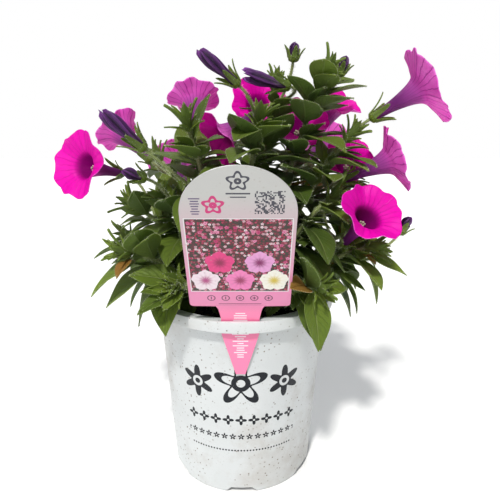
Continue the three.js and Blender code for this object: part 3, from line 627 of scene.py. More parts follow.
# The flower picture on the tag: rosettes of five petals, one in each cell, in pinks and whites over dark
# leaves.
flat = node(tree, "ShaderNodeCombineXYZ", {0: across, 1: length}).outputs[0]
picture = blended(cloud(flat, 0.4, 4.0, 0.5).ramp(0.45, 0.62), (0.012, 0.016, 0.008), (0.09, 0.004, 0.014))
drift = cloud(flat, 0.13, 2.0).ramp(0.35, 0.65)
for scale, part, shade, light in (
    (0.6, 0.4, (0.16, 0.002, 0.018), (0.50, 0.02, 0.09)),
    (0.42, 0.55, (0.34, 0.006, 0.06), (0.80, 0.72, 0.76)),
    (0.3, 0.72, (0.45, 0.01, 0.12), (0.70, 0.26, 0.42)),
):
    inputs = {"Vector": flat, "Scale": scale, "Randomness": 0.8}
    bloom = node(tree, "ShaderNodeTexVoronoi", inputs, voronoi_dimensions="2D")
    middle = bloom.outputs["Position"]
    off = node(tree, "ShaderNodeVectorMath", {0: flat, 1: middle}, operation="SUBTRACT").outputs[0]
    off_x, off_y, _ = split(off)
    hue, pick, _ = split(bloom.outputs["Color"])
    angle = off_x.by("ARCTAN2", off_y) + hue * 6.0
    reach = reach_of(off_x, off_y)
    petal = reach.under(((angle * 5.0).by("COSINE") * 0.16 + 0.84) * (0.44 / scale)) * pick.over(part)
    picture = blended(petal, picture, blended((hue * 0.55 + drift * 0.9 - 0.3).held(), shade, light))
    picture = blended(petal * reach.under(0.08 / scale), picture, (0.2, 0.01, 0.06))
for left, low, face, eye in (
    (-20.5, 23.5, (0.80, 0.68, 0.74), (0.4, 0.05, 0.2)),
    (-11.5, 38.5, (0.70, 0.03, 0.20), (0.25, 0.0, 0.06)),
    (0.5, 23.5, (0.80, 0.20, 0.46), (0.3, 0.02, 0.1)),
    (12.0, 38.5, (0.72, 0.32, 0.60), (0.2, 0.0, 0.1)),
    (21.0, 23.5, (0.82, 0.80, 0.72), (0.6, 0.45, 0.05)),
):
    off_x, off_y = across - left, length - low
    reach = reach_of(off_x, off_y)
    angle = off_x.by("ARCTAN2", off_y)
    lobes = reach.under((angle * 2.5).by("COSINE").size() * 1.7 + 7.2 + (angle * 13.0).by("COSINE") * 0.25)
    veins = ((angle * 12.0).by("COSINE") * 0.5 + 0.5) * reach.ramp(8.0, 2.0) * 0.3
    picture = blended(lobes, picture, blended((reach.ramp(0.6, 4.5) - veins).held(), eye, face))
colour = blended(box_at(-30.2, 30.2, 13.6, 72.2), paper, (0.70, 0.68, 0.69))
colour = blended(box_at(-29.6, 29.6, 14.2, 71.6), colour, picture)
# Small print without words: flower outlines, a block of cells, bars for lines and a row of pictograms.
DARK_PRINT = (0.04, 0.04, 0.06)
CELL = 0.8
LINE_PITCH = 1.7
SIGN_PITCH = 9.0
colour = blended(flower_line(across, length - 96.5, 5.6, 0.75), colour, DARK_PRINT)
colour = blended(box_at(-6.4, 6.4, 88.2, 89.2).most(box_at(-4.2, 4.2, 86.0, 86.8)), colour, DARK_PRINT)
colour = blended(flower_line(across + 13.4, length - 81.0, 5.4, 1.0), colour, (0.55, 0.015, 0.16))
grid = node(tree, "ShaderNodeVectorMath", {0: flat, 1: (CELL, CELL, CELL)}, operation="SNAP").outputs[0]
chance = Wire(node(tree, "ShaderNodeTexWhiteNoise", {"Vector": grid}, noise_dimensions="2D").outputs[0])
colour = blended(box_at(8.8, 24.8, 75.2, 90.4) * chance.over(0.5), colour, DARK_PRINT)
step = (length / LINE_PITCH).by("FLOOR")
lines = (length / LINE_PITCH - step).under(0.45)
ends = Wire(node(tree, "ShaderNodeTexWhiteNoise", {"W": step}, noise_dimensions="1D").outputs[0]) * 4.0
side_lines = lines * length.near(74.0, 86.0) * (across + 23.2).size().under(ends * 0.5 + 1.4)
neck_lines = lines * length.near(0.6, 3.4) * across.size().under(ends + 13.0)
tail_lines = lines * length.near(-40.0, -4.0) * across.size().under(ends + 2.0) * length.size().over(6.0)
count = (across / SIGN_PITCH).by("ROUND")
off_x, off_y = across - count * SIGN_PITCH, length - 7.6
reach = reach_of(off_x, off_y)
stroke = off_x.size().under(0.35) * reach.under(1.3)
bar = off_y.size().under(0.35) * reach.under(1.3) * count.over(-0.5)
signs = (reach - 2.3).size().under(0.32).most(stroke).most(bar)
colour = blended(side_lines, colour, (0.08, 0.05, 0.14))
colour = blended(neck_lines, colour, (0.3, 0.06, 0.15))
colour = blended(signs * across.size().under(22.0), colour, (0.12, 0.03, 0.07))
colour = blended(tail_lines, colour, (0.86, 0.7, 0.76))
place = object_place(tree)
dirt, specks = used(garden_dust, place, Film=0.25, Speck=0.35)
relief, smudge = used(plastic_grain, place, Grain=420.0, Wave=70.0)
joined(blended(specks.most(dirt * 0.5), colour, (0.34, 0.30, 0.26)), shader, "Base Color")
joined(smudge * 0.2 + 0.22, shader, "Roughness")
raised(shader, relief, 0.00012)

tag_back, tree, shader = finish("tag_back", Roughness=0.35)
place = object_place(tree)
dirt, specks = used(garden_dust, place, Film=0.4, Speck=0.5)
relief, smudge = used(plastic_grain, place, Grain=420.0, Wave=70.0)
sheet_white = blended(smudge, (0.66, 0.62, 0.65), (0.76, 0.73, 0.76))
joined(blended(specks.most(dirt * 0.6), sheet_white, (0.34, 0.30, 0.26)), shader, "Base Color")
joined(smudge * 0.2 + 0.26, shader, "Roughness")
raised(shader, relief, 0.00012)
laid(tag, "plant_tag", [tag_print, tag_back], ["plant_tag"], smooth=30)

# Leafy shoots: soft green stems with leaves all round, a tuft of young leaves at the tip and thin flower
# stalks. They grow from the crown in the middle of the mix, and short pale hairs cover them.

# The plant's habit, one shoot a row: the angle and distance of its root, its tip, how straight up it starts,
# its leaves, the longest leaf, the first leaf's turn and its flowers. A flower: its kind, place on the stem,
# throat or tip, the way it faces, and its limb radius or bud length.
SHOOTS = [
    ((262, 15), (12, -24, 268), 0.62, 10, 56, 36, [
        ("bud", 0.86, (-29.8, -9, 316), (-0.76, -0.12, 0.64), 37),
    ]),
    ((215, 15), (-34, -36, 266), 0.6, 10, 52, 108, [("bud", 0.6, (-85.5, -55, 276), (-0.7, -0.2, 0.68), 36)]),
    ((330, 9), (24, 8, 292), 0.6, 10, 49, 36, [
        ("bud", 0.9, (0, -15, 299), (-0.95, -0.18, 0.22), 35),
        ("bud", 0.86, (38, 6, 322), (0.1, 0, 1), 13),
        ("bloom", 0.74, (-10, -3, 259), (-0.75, -0.4, -0.5), 23),
    ]),
    ((335, 16), (59, -9, 300), 0.62, 10, 47, 180, [("bud", 0.9, (74, 4, 313), (0.3, -0.1, 0.95), 14)]),
    ((318, 20), (74, -18, 258), 0.62, 10, 54, 324, [
        ("bloom", 0.66, (116, -22, 287), (0.84, -0.1, 0.52), 28),
    ]),
    ((300, 23), (62, -30, 218), 0.66, 8, 52, 180, [("bloom", 0.9, (82, -50, 207), (0.3, -0.66, 0.68), 22.5)]),
    ((345, 22), (86, 18, 228), 0.66, 9, 52, 36, [
        ("bloom", 0.76, (101, -14, 240), (0.9, -0.1, 0.4), 25),
        ("bloom", 0.66, (79, 10, 237), (-0.05, -0.85, 0.5), 18.5),
    ]),
    ((200, 21), (-53, -20, 214), 0.64, 9, 52, 252, [("bud", 0.86, (-76, -47, 238), (-0.75, -0.5, 0.35), 17)]),
    ((182, 19), (-78, -6, 208), 0.66, 9, 49, 108, [
        ("bloom", 0.8, (-109, -12, 237), (-0.5, -0.75, 0.22), 24.5),
    ]),
    ((160, 20), (-66, 34, 240), 0.62, 9, 49, 324, [("bloom", 0.8, (-91, 28, 257), (-0.7, 0.44, 0.56), 19.5)]),
    ((225, 25), (-76, -47, 184), 0.74, 8, 56, 36, []),
    ((244, 25), (-40, -66, 166), 0.8, 7, 56, 180, []),
    ((288, 25), (50, -67, 166), 0.8, 8, 56, 252, []),
    ((335, 27), (92, -26, 182), 0.74, 8, 56, 36, [("bud", 0.8, (125, -6, 200), (0.55, 0.1, 0.83), 15)]),
    ((118, 12), (-16, 26, 246), 0.62, 9, 49, 252, [("bloom", 0.8, (-36, 30, 279), (-0.12, 0.62, 0.78), 21)]),
    ((75, 14), (26, 58, 262), 0.62, 9, 52, 108, [
        ("bloom", 0.82, (12, 36, 279), (0.1, -0.84, 0.54), 22),
        ("bloom", 0.66, (43, 22, 263), (0.12, -0.78, 0.62), 22),
    ]),
    ((35, 15), (40, 50, 232), 0.62, 8, 47, 36, [("bloom", 0.85, (70, 34, 277), (0.4, -0.38, 0.84), 21)]),
    ((140, 22), (-62, 74, 208), 0.7, 7, 56, 108, [("bloom", 0.86, (-60, 94, 228), (-0.4, 0.7, 0.58), 26)]),
    ((50, 24), (60, 76, 214), 0.7, 7, 56, 252, [("bloom", 0.86, (70, 92, 246), (0.42, 0.7, 0.58), 26)]),
    ((95, 24), (14, 86, 176), 0.78, 6, 56, 36, [("bud", 0.8, (-6, 116, 214), (-0.2, 0.6, 0.77), 28)]),
    ((15, 26), (98, 40, 182), 0.76, 7, 56, 108, []),
    ((168, 26), (-94, 34, 176), 0.76, 7, 56, 324, []),
]
STEM_RADIUS = (2.4, 1.45)
STALK_RADIUS = 1
ROOT_DEPTH = 15
TUBE_LENGTH = 33
LEAF_WIDTH = 0.48
LEAF_FOLD = 0.1
BLADE_FOLD = 0.26
LEAF_TURN = 144
LEAF_SPACE = 1.8
LEAF_OUTLINE = [(0, 0.05), (0.16, 0.055), (0.44, 0.46), (0.76, 0.42), (1, 0)]
SIDEWAYS = Vector((0.3, 0.6, -0.75))
seed = 20


def between(low, high):
    """A draw that the solid shoots make too, so that both have the same leaves."""
    global seed
    seed = (seed * 1664525 + 1013904223) % 4294967296
    return low + (high - low) * seed / 4294967296


def spoke(axis, turn):
    """A direction square to an axis and turned about it."""
    east = (SIDEWAYS - axis * SIDEWAYS.dot(axis)).normalized()
    return east * math.cos(turn) + axis.cross(east) * math.sin(turn)


def aslant(along, turn, pitch):
    """A direction that leans away from a stem by its pitch."""
    return along * math.cos(pitch) + spoke(along, turn) * math.sin(pitch)


def on_curve(curve, t):
    """The place and the direction at a share of the way along a curve that three points steer."""
    a, b, c = curve
    at = a * (1 - t) ** 2 + b * 2 * t * (1 - t) + c * t * t
    return at, (a * (t - 1) + b * (1 - 2 * t) + c * t).normalized()


def on_stem(curve, t):
    """The same on a stem, whose solid is straight between its five rings."""
    ring = min(int(t * 4), 3)
    low, high = on_curve(curve, ring / 4)[0], on_curve(curve, (ring + 1) / 4)[0]
    return low.lerp(high, t * 4 - ring), on_curve(curve, t)[1]


def stem_curve(shoot):
    (angle, reach), tip, rise = shoot[:3]
    angle = math.radians(angle)
    root = Vector((reach * math.cos(angle), reach * math.sin(angle), SOIL_TOP))
    out = Vector(tip) - root
    return root, root + Vector((out.x * 0.3, out.y * 0.3, out.z * rise)), Vector(tip)


def depth_of(kind, size):
    """How far a flower reaches back from its place: a bloom by its tube, and a bud by its whole length."""
    return TUBE_LENGTH if kind == "bloom" else size


def stalk_curve(curve, flower):
    kind, share, place, facing, size = flower
    facing = Vector(facing).normalized()
    start = on_stem(curve, share)[0]
    end = Vector(place) - facing * (depth_of(kind, size) + 1)
    return start, end - facing * 0.45 * (end - start).length, end


def leaf_frame(stem, at, turn, pitch, size, droop, wave):
    origin, along = on_stem(stem, at)
    heading = aslant(along, turn, pitch)
    sky = along * 0.55 + Vector((0, 0, 0.7))
    upper = (sky - heading * sky.dot(heading)).normalized()
    return dict(origin=origin, heading=heading, upper=upper, length=size, droop=droop, wave=wave)


def leaf_points(leaf, u, v, half_width, fold=LEAF_FOLD):
    """Points of a leaf's upper face: u runs from base to tip, v from the left edge, -1, to the right, 1."""
    def column(numbers):
        return np.asarray(numbers)[:, None]

    bend, length = max(leaf["droop"], 0.01), leaf["length"]
    origin, heading, upper = (np.array(leaf[key]) for key in ("origin", "heading", "upper"))
    ahead, sunk = np.sin(bend * u) / bend * length, (1 - np.cos(bend * u)) / bend * length
    spine = origin + heading * column(ahead) - upper * column(sunk)
    normal = upper * column(np.cos(bend * u)) + heading * column(np.sin(bend * u))
    width = half_width * length * LEAF_WIDTH
    ripple = leaf["wave"] * width * np.sin(5 * u + 2 * v + leaf["wave"] * 40) * np.abs(v)
    raised_by = fold * width * np.abs(v) + ripple
    return spine + np.cross(heading, upper) * column(v * width) + normal * column(raised_by)


# The places that a new leaf keeps clear of, one a row: x, y, z, radius, and the shoot that may come closer.
kept_clear = np.zeros((60000, 5))
kept_count = 0


def keep_clear(at, radius, owner):
    global kept_count
    kept_clear[kept_count] = (*at, radius, owner)
    kept_count += 1


for step in np.arange(-TAG_BEND, TAG_TOP + 0.001, 5):
    y, z, _ = tag_line(step)
    for x in np.arange(-TAG_HALF_WIDTH, TAG_HALF_WIDTH + 0.001, 5.2):
        keep_clear((x, y, z), 1.6, -1)
for owner, shoot in enumerate(SHOOTS):
    curve = stem_curve(shoot)
    t = 0.06
    while t <= 1:
        keep_clear(on_curve(curve, t)[0], 2, owner)
        t += 0.03
    tip, along = on_curve(curve, 1)
    for ahead in (4, 10, 16):
        keep_clear(tip + along * ahead, 5, owner + 100)
    for flower in shoot[6]:
        stalk = stalk_curve(curve, flower)
        t = 0.1
        while t <= 1:
            keep_clear(on_curve(stalk, t)[0], 1.6, owner)
            t += 0.12
        kind, _, place, facing, size = flower
        place, axis = Vector(place), Vector(facing).normalized()
        rings = [(0, 0, 1, 6)]
        deep = depth_of(kind, size)
        low = -deep
        while low < 0:
            rings.append((0, low, 1, 9 if 5 < low + deep < 18 else 6))
            low += 4
        if kind == "bloom":
            rings += [(size * 0.4, 3.5, 7, 3), (size * 0.72, 7, 13, 3.2), (size, 9.5, 18, 3.4)]
        for radius, rise, count, clear in rings:
            for k in range(count):
                turn = 2 * math.pi * k / count
                keep_clear(place + axis * rise + spoke(axis, turn) * radius, clear, owner + 100)

sample_rows = [0.14, 0.24, 0.34, 0.44, 0.54, 0.64, 0.74, 0.84, 0.93, 1]
sample_columns = [-1, -0.66, -0.33, 0, 0.33, 0.66, 1]
SAMPLE_U, SAMPLE_V = (grid.ravel() for grid in np.meshgrid(sample_rows, sample_columns, indexing="ij"))
SAMPLE_WIDTH = np.interp(SAMPLE_U, *zip(*LEAF_OUTLINE))


def is_clear(samples, owner, room=1.0):
    """Whether a leaf's points miss the pot, the mix, the tag and whatever grows already."""
    radius, z = np.hypot(samples[:, 0], samples[:, 1]), samples[:, 2]
    outside = (z > POT_HEIGHT + 3) | (radius > RIM_RADIUS + 3)
    if np.any(np.where(outside, z < 4, (z < SOIL_TOP + 4) | (radius > WALL_TOP_RADIUS - 4))):
        return False
    things = kept_clear[:kept_count]
    near = (things[:, :3] > samples.min(0) - 12) & (things[:, :3] < samples.max(0) + 12)
    things = things[np.all(near, axis=1)]
    own = things[:, 4] == owner
    space = (things[:, 3] + LEAF_SPACE) * np.where(own, 0.62, 1) * room
    gap = ((samples[:, None] - things[None, :, :3]) ** 2).sum(2)
    touching = (gap <= space**2) & ~(own[None] & (SAMPLE_U < 0.45)[:, None])
    return not touching.any()


def placed_leaf(stem, owner, at, turn, pitch, size, droop, wave):
    """A leaf in its own place, or else turned and lifted by growing steps, and then smaller."""
    for shrink in (1, 0.85, 0.7, 0.55, 0.42):
        for extra in (0, 20, -20, 72, -72, 52, -52, 92, -92, 144, -144):
            aside = turn + math.radians(extra)
            for lift in (0, -0.28, 0.28):
                leaf = leaf_frame(stem, at, aside, pitch + lift, size * shrink, droop, wave)
                samples = leaf_points(leaf, SAMPLE_U, SAMPLE_V, SAMPLE_WIDTH)
                if is_clear(samples, owner):
                    for point in samples:
                        keep_clear(point, LEAF_SPACE, owner)
                    return leaf
    return None


def leaf_height(share):
    return 0.3 + 0.58 * share


def leaves_of(shoot, owner):
    stem, count, longest = stem_curve(shoot), shoot[3], shoot[4]
    leaves = []
    for k in range(count - 1, -1, -1):
        share = k / (count - 1)
        turn = math.radians(shoot[5] + k * LEAF_TURN) + between(-0.1, 0.1)
        pitch = math.radians(80 - 34 * share * share) + between(-0.15, 0.15)
        size = longest * (1 - 0.28 * share**3 - 0.2 * (1 - share) ** 3) * between(0.88, 1.08)
        droop = 0.35 + 0.75 * (1 - share) + between(-0.2, 0.25)
        leaf = placed_leaf(stem, owner, leaf_height(share), turn, pitch, size, droop, between(0.04, 0.16))
        if leaf:
            leaf["share"] = share
            leaves.append(leaf)
    return leaves


scrap = bpy.data.meshes.new("scrap")


def grown(bm, rows, columns, shape, growth, index=0, thickness=0.0):
    """A grid that shape(u, v) bends into its form, u and v from 0 to 1. growth is its tone and its youth, and
    the side it lies on is added. Equal points are merged, so a tube closes along its seam, and a part that
    came out inside out is turned round."""
    part = bmesh.new()
    part.loops.layers.float_color.new("growth")
    part.loops.layers.uv.new("surface")
    bmesh.ops.create_grid(part, x_segments=rows, y_segments=columns, size=0.5, calc_uvs=True)
    shade = part.loops.layers.float_color["growth"]
    u = np.array([vert.co.x + 0.5 for vert in part.verts])
    v = np.array([vert.co.y + 0.5 for vert in part.verts])
    for vert, point in zip(part.verts, shape(u, v)):
        vert.co = point
    bmesh.ops.remove_doubles(part, verts=part.verts, dist=0.004)
    for face in part.faces:
        face.material_index = index
        for loop in face.loops:
            loop[shade] = (*growth, 0, 1)
    if thickness:
        part.normal_update()
        front = set(part.faces)
        bmesh.ops.solidify(part, geom=part.faces[:], thickness=thickness)
        for face in set(part.faces) - front:
            for loop in face.loops:
                loop[shade] = (*growth, 1, 1)
    else:
        rims = [edge for edge in part.edges if edge.is_boundary]
        if rims:
            bmesh.ops.holes_fill(part, edges=rims, sides=0)
    if part.calc_volume(signed=True) < 0:
        bmesh.ops.reverse_faces(part, faces=part.faces[:])
    part.to_mesh(scrap)
    part.free()
    bm.from_mesh(scrap)


def leaf_outline(u):
    """Half the width of a leaf: a short winged stalk, then a broad blade that tapers to a point."""
    blade = np.clip((u - 0.1) / 0.9, 0, 1)
    return 0.045 * (1 - blade) ** 2 + 0.5 * np.sin(np.pi * blade**0.82) ** 0.98


def tube(bm, curve, radii, steps, sides, tone):
    def shape(u, v):
        points = []
        for along, turn in zip(u, v):
            at, axis = on_curve(curve, along)
            radius = radii[0] + (radii[1] - radii[0]) * along
            points.append(at + spoke(axis, 2 * math.pi * turn) * radius)
        return points

    grown(bm, steps, sides, shape, (tone, 0.3), index=1)


def whorl(bm, end, axis, leaves, rim, rim_height, tone, cup=False, turned=0.0):
    """Young leaves at a tip, or the sepals of a calyx, one to each side."""
    for k, (length, spread, width) in enumerate(leaves):
        out = spoke(axis, 2 * math.pi * (k + turned) / len(leaves))
        side = axis.cross(out)
        reach, ahead = length * math.sin(math.radians(spread)), length * math.cos(math.radians(spread))
        base = end + axis * (rim_height - (1.2 if cup else 4.0)) + out * (rim - 0.35)

        def shape(u, v, base=base, out=out, side=side, reach=reach, ahead=ahead, width=width):
            if cup:
                half = width / 2 * (1.1 - 0.5 * u) * np.sqrt(np.clip(1 - u**5, 0, 1))
            else:
                half = width / 2 * np.sin(np.pi * (0.04 + 0.96 * u) ** 0.75) ** 0.9
            lift = width * (0.12 if cup else 0.26) * (2 * v - 1) ** 2
            curve_out = reach * (0.6 * u + 0.4 * u**2.2)
            curve_up = (ahead + 1.2) * u - 0.1 * reach * u**2
            return [
                base + out * (o - l * 0.8) + axis * (a + l * 0.3) + side * s
                for o, a, s, l in zip(curve_out, curve_up, half * (2 * v - 1), lift)
            ]

        grown(bm, 10, 6, shape, (tone, 0.8), thickness=0.4)


def calyx(bm, stalk, flower, tone):
    _, _, _, facing, size = flower
    axis, end = Vector(facing).normalized(), stalk[2]
    profile = ((0, STALK_RADIUS), (0.05, 1.6), (0.2, 3.1), (0.42, 3.75), (0.8, 4.1), (1, 4.25))

    def shape(u, v):
        points = []
        for along, turn in zip(u, v):
            radius = float(np.interp(along, *zip(*profile))) * (1 + 0.05 * math.cos(10 * math.pi * turn))
            points.append(end + axis * (4.2 * along) + spoke(axis, 2 * math.pi * turn) * radius)
        return points

    grown(bm, 8, 20, shape, (tone, 0.5))
    length = 14 * (0.55 if size < 20 else 1)
    sepals = [(length * share, 30, 3.8) for share in (1, 0.93, 1.03, 0.96, 0.9)]
    whorl(bm, end, axis, sepals, 4.2, 4.2, tone, cup=True)


def hair(root, out, long, thin=0.13):
    """The place, length and thickness of one hair, which is a spike with three sides."""
    turn = Vector(out).normalized().to_track_quat("Z", "Y").to_matrix().to_4x4()
    return placed(root, (thin, thin, long), turn)


spike = bmesh.new()
bmesh.ops.create_cone(
    spike, cap_ends=False, segments=3, radius1=1, radius2=0.001, depth=1,
    matrix=Matrix.Translation((0, 0, 0.5)),
)
bmesh.ops.remove_doubles(spike, verts=spike.verts, dist=0.01)
spike = template_of("spike", spike)

# The skin of soft plant parts: small swollen cells, and a gloss that varies a little.
takes = {"Place": None, "Cells": 400.0, "Gloss": 0.4}
plant_skin, (at, cell, gloss), end = effect("plant_skin", takes, ["Relief", "Roughness"])
ended(plant_skin, end, Relief=cloud(at, cell), Roughness=cloud(at, cell * 0.7) * 0.22 + gloss)


def lit_through(tree, shader, share, colour):
    """Lets part of the light through a thin leaf or petal, in the colour that it takes on."""
    glow = node(tree, "ShaderNodeBsdfTranslucent", {"Color": colour})
    mixed = node(tree, "ShaderNodeMixShader", {0: share, 1: shader.outputs[0], 2: glow.outputs[0]})
    tree.links.new(mixed.outputs[0], tree.nodes["Material Output"].inputs[0])


leaf_green, tree, shader = finish("leaf_green", Roughness=0.5, IOR=1.42)
where = own_map(tree, "surface")
place = object_place(tree)
along, across, _ = split(where)
side = (across - 0.5).size() * 2.0
tone, youth, under = split(node(tree, "ShaderNodeAttribute", attribute_name="growth").outputs["Color"])
midrib = side.ramp(0.075, 0.02)
rib = (along * 8.5 - side * 2.1 + cloud(place, 120.0) * 0.35).by("FRACT") - 0.5
ribs = rib.size().ramp(0.085, 0.02) * side.ramp(1.0, 0.8) * along.near(0.12, 0.96)
net = cells(place, 780.0, "DISTANCE_TO_EDGE").ramp(0.09, 0.01)
fresh = (tone * 0.75 + youth * 0.45 + cloud(place, 55.0) * 0.5 - 0.25).held()
withered = (youth * -1.0).ramp(0.1, 0.9)
green = blended(fresh, (0.034, 0.078, 0.012), (0.29, 0.40, 0.045))
green = blended(cloud(place, 240.0, 4.0).ramp(0.55, 0.8) * 0.3, green, (0.20, 0.28, 0.04))
green = blended(net * 0.12, green, (0.17, 0.26, 0.06))
green = blended(ribs * 0.6, green, (0.25, 0.36, 0.08))
green = blended(midrib * 0.8, green, (0.38, 0.48, 0.14))
green = blended(side.ramp(0.95, 1.0) * 0.15, green, (0.28, 0.36, 0.09))
green = blended(under * side.under(0.97) * 0.5, green, (0.18, 0.27, 0.08))
x, y, z = split(place)
# Painted shade: leaves near the middle of the plant and low down are darkened to a deep green, where the
# foliage above shades them.
painted_inner_shade = reach_of(x, y).ramp(0.105, 0.03) * z.ramp(0.31, 0.2)
green = blended(painted_inner_shade * 0.72, green, (0.012, 0.030, 0.005))
green = blended(withered, green, (0.42, 0.20, 0.045))
joined(green, shader, "Base Color")
relief, gloss = used(plant_skin, place, Cells=420.0, Gloss=0.36)
joined(gloss, shader, "Roughness")
quilt = ribs * -0.7 - midrib * 1.0 + net * -0.25 + relief * 0.35
raised(shader, quilt * (under * -2.0 + 1.0), 0.0011, 0.9)
lit_through(tree, shader, 0.25, blended(tone, (0.24, 0.42, 0.01), (0.48, 0.62, 0.03)))

stem_green, tree, shader = finish("stem_green", Roughness=0.45)
place = object_place(tree)
where = own_map(tree, "surface")
stripes = cloud(node(tree, "ShaderNodeMapping", {"Vector": where, "Scale": (3, 26, 1)}).outputs[0], 1.0, 3.0)
green = blended(stripes, (0.12, 0.17, 0.04), (0.32, 0.37, 0.13))
green = blended(cloud(place, 40.0).ramp(0.56, 0.72) * 0.5, green, (0.13, 0.07, 0.05))
joined(green, shader, "Base Color")
relief, gloss = used(plant_skin, place, Cells=700.0, Gloss=0.36)
joined(gloss, shader, "Roughness")
raised(shader, stripes + relief * 0.4, 0.0005)

hair_pale, tree, shader = finish("hair_pale", Roughness=0.35)
place = object_place(tree)
joined(blended(cloud(place, 60.0), (0.50, 0.60, 0.30), (0.80, 0.85, 0.60)), shader, "Base Color")

# First every leaf of the solid shoots finds its place, in their order. The small leaves come after.
tufts, foliage = [], []
for owner, shoot in enumerate(SHOOTS):
    tuft = [(between(10, 22), between(16, 42)) for _ in range(5)]
    tufts.append([(length, spread, 0.31 * length) for length, spread in tuft])
    foliage.append(leaves_of(shoot, owner))


def small_leaves(shoot, owner, leaves):
    """Small leaves of side shoots: up to three in the axil of each leaf, and more where the stem has room."""
    stem, box = stem_curve(shoot), np.array(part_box(f"shoot_{owner + 1:02d}")) * 1000
    wanted = []
    for leaf in leaves:
        sideways = leaf["heading"].cross(leaf["upper"])
        along = on_stem(stem, leaf_height(leaf["share"]))[1]
        for turn in (hand.uniform(-1.1, -0.4), hand.uniform(-0.3, 0.3), hand.uniform(0.4, 1.1)):
            heading = leaf["heading"] * 0.7 + along * hand.uniform(0.4, 1.1) + sideways * turn
            origin = leaf["origin"] + (leaf["heading"] + along * 0.6) * hand.uniform(0, 5)
            wanted.append((origin, heading, leaf["upper"], hand.uniform(13, 26)))
    for _ in range(9 if shoot[1][0] < -45 else 22):
        at = hand.uniform(0.16, 0.94)
        origin, along = on_stem(stem, at)
        heading = aslant(along, hand.uniform(0, 6.28), hand.uniform(0.7, 1.35))
        wanted.append((origin, heading, along * 0.55 + Vector((0, 0, 0.7)), hand.uniform(26, 46)))
    found = []
    for origin, heading, upper, length in wanted:
        heading = heading.normalized()
        upper = (upper - heading * upper.dot(heading)).normalized()
        for shrink in (1, 0.75, 0.55):
            droop, wave = hand.uniform(0.1, 0.9), hand.uniform(0.05, 0.16)
            leaf = dict(
                origin=origin, heading=heading, upper=upper, length=length * shrink, droop=droop, wave=wave,
            )
            samples = leaf_points(leaf, SAMPLE_U, SAMPLE_V, SAMPLE_WIDTH)
            inside = np.all((samples > box[0] - 1) & (samples < box[1] + 1))
            if inside and is_clear(samples, owner, 0.5):
                for point in samples[::3]:
                    keep_clear(point, LEAF_SPACE, owner)
                found.append(leaf)
                break
    return found


# Faces smaller than this, in square millimetres, are young growth, which is downy all over.
DOWNY_AREA = 1.1
# The whorls of the tuft at each tip: height, leaves, shortest, longest, spread in degrees and part of a turn.
TUFT_WHORLS = [
    (-3, 5, 11, 17, (38, 62), 0.5),
    (1.2, 6, 9, 15, (18, 34), 0.25),
    (2.0, 5, 6, 10, (6, 16), 0.75),
]
corollas, buds = [], []
for owner, shoot in enumerate(SHOOTS):
    name = f"shoot_{owner + 1:02d}"
    stem = stem_curve(shoot)
    bm, hairs = bmesh.new(), []
    tip, along = on_curve(stem, 1)
    tube(bm, stem, STEM_RADIUS, 22, 10, 0.4)
    foot = (stem[0] - Vector((0, 0, ROOT_DEPTH)), stem[0] - Vector((0, 0, ROOT_DEPTH / 2)), stem[0])
    tube(bm, foot, (STEM_RADIUS[0],) * 2, 2, 10, 0.3)
    whorl(bm, tip, along, tufts[owner], STEM_RADIUS[1] + 0.3, 2.2, 0.6)
    for rise, count, low, high, spread, part in TUFT_WHORLS:
        young = [(hand.uniform(low, high), hand.uniform(*spread)) for _ in range(count)]
        young = [(length, angle, 0.25 * length) for length, angle in young]
        whorl(bm, tip + along * rise, along, young, STEM_RADIUS[1] * 0.7, 2.2, 0.85, turned=part)
    whole = [(leaf, 26, 12, 0.5) for leaf in foliage[owner]]
    whole += [(leaf, 14, 6, 0.4) for leaf in small_leaves(shoot, owner, foliage[owner])]
    for leaf, rows, columns, thickness in whole:
        if "share" in leaf:
            tone, youth = hand.uniform(0.1, 0.85), leaf["share"] ** 2 * 0.6
        else:
            tone, youth = hand.uniform(0.2, 1), hand.uniform(0, 0.6) if hand.random() > 0.03 else -1

        def blade(u, v, leaf=leaf):
            return leaf_points(leaf, u, 2 * v - 1, leaf_outline(u), BLADE_FOLD)

        grown(bm, rows, columns, blade, (tone, youth), thickness=-thickness)
        steps = int(leaf["length"] * 0.6)
        u = np.repeat(np.linspace(0.12, 0.99, steps), 2)
        v = np.tile([-1.0, 1.0], steps)
        edges = leaf_points(leaf, u, v, leaf_outline(u), BLADE_FOLD)
        middles = leaf_points(leaf, u, v * 0.9, leaf_outline(u), BLADE_FOLD)
        for at, near in zip(edges, middles):
            astray = Vector([hand.uniform(-0.4, 0.4) for _ in range(3)])
            out = Vector(at - near).normalized() + astray + leaf["heading"] * 0.4
            hairs.append(hair(at, out, hand.uniform(0.5, 1.2), 0.09))
    for flower in shoot[6]:
        stalk = stalk_curve(stem, flower)
        tube(bm, stalk, (STALK_RADIUS, STALK_RADIUS), 14, 8, 0.6)
        calyx(bm, stalk, flower, 0.65)
        (corollas if flower[0] == "bloom" else buds).append(flower)
    downy = [face for face in bm.faces if face.calc_area() < DOWNY_AREA]
    downy.sort(key=lambda face: tuple(face.calc_center_median()))
    for face in hand.sample(downy, min(900, len(downy))):
        hairs.append(hair(face.calc_center_median(), face.normal + along * 0.2, hand.uniform(0.7, 1.6)))
    lines = [(stem, STEM_RADIUS, 800)] + [(stalk_curve(stem, f), (STALK_RADIUS,) * 2, 360) for f in shoot[6]]
    for curve, radii, count in lines:
        for _ in range(count):
            t, turn = hand.random(), hand.uniform(0, 2 * math.pi)
            at, axis = on_curve(curve, t)
            out = spoke(axis, turn)
            root = at + out * (radii[0] + (radii[1] - radii[0]) * t - 0.1)
            hairs.append(hair(root, out + axis * hand.uniform(-0.3, 0.5), hand.uniform(1.0, 2.3), 0.1))
    laid(bm, name, [leaf_green, stem_green], [name], smooth=75)
    laid(strewn(spike, hairs), f"hairs_{owner + 1:02d}", [hair_pale], smooth=180)

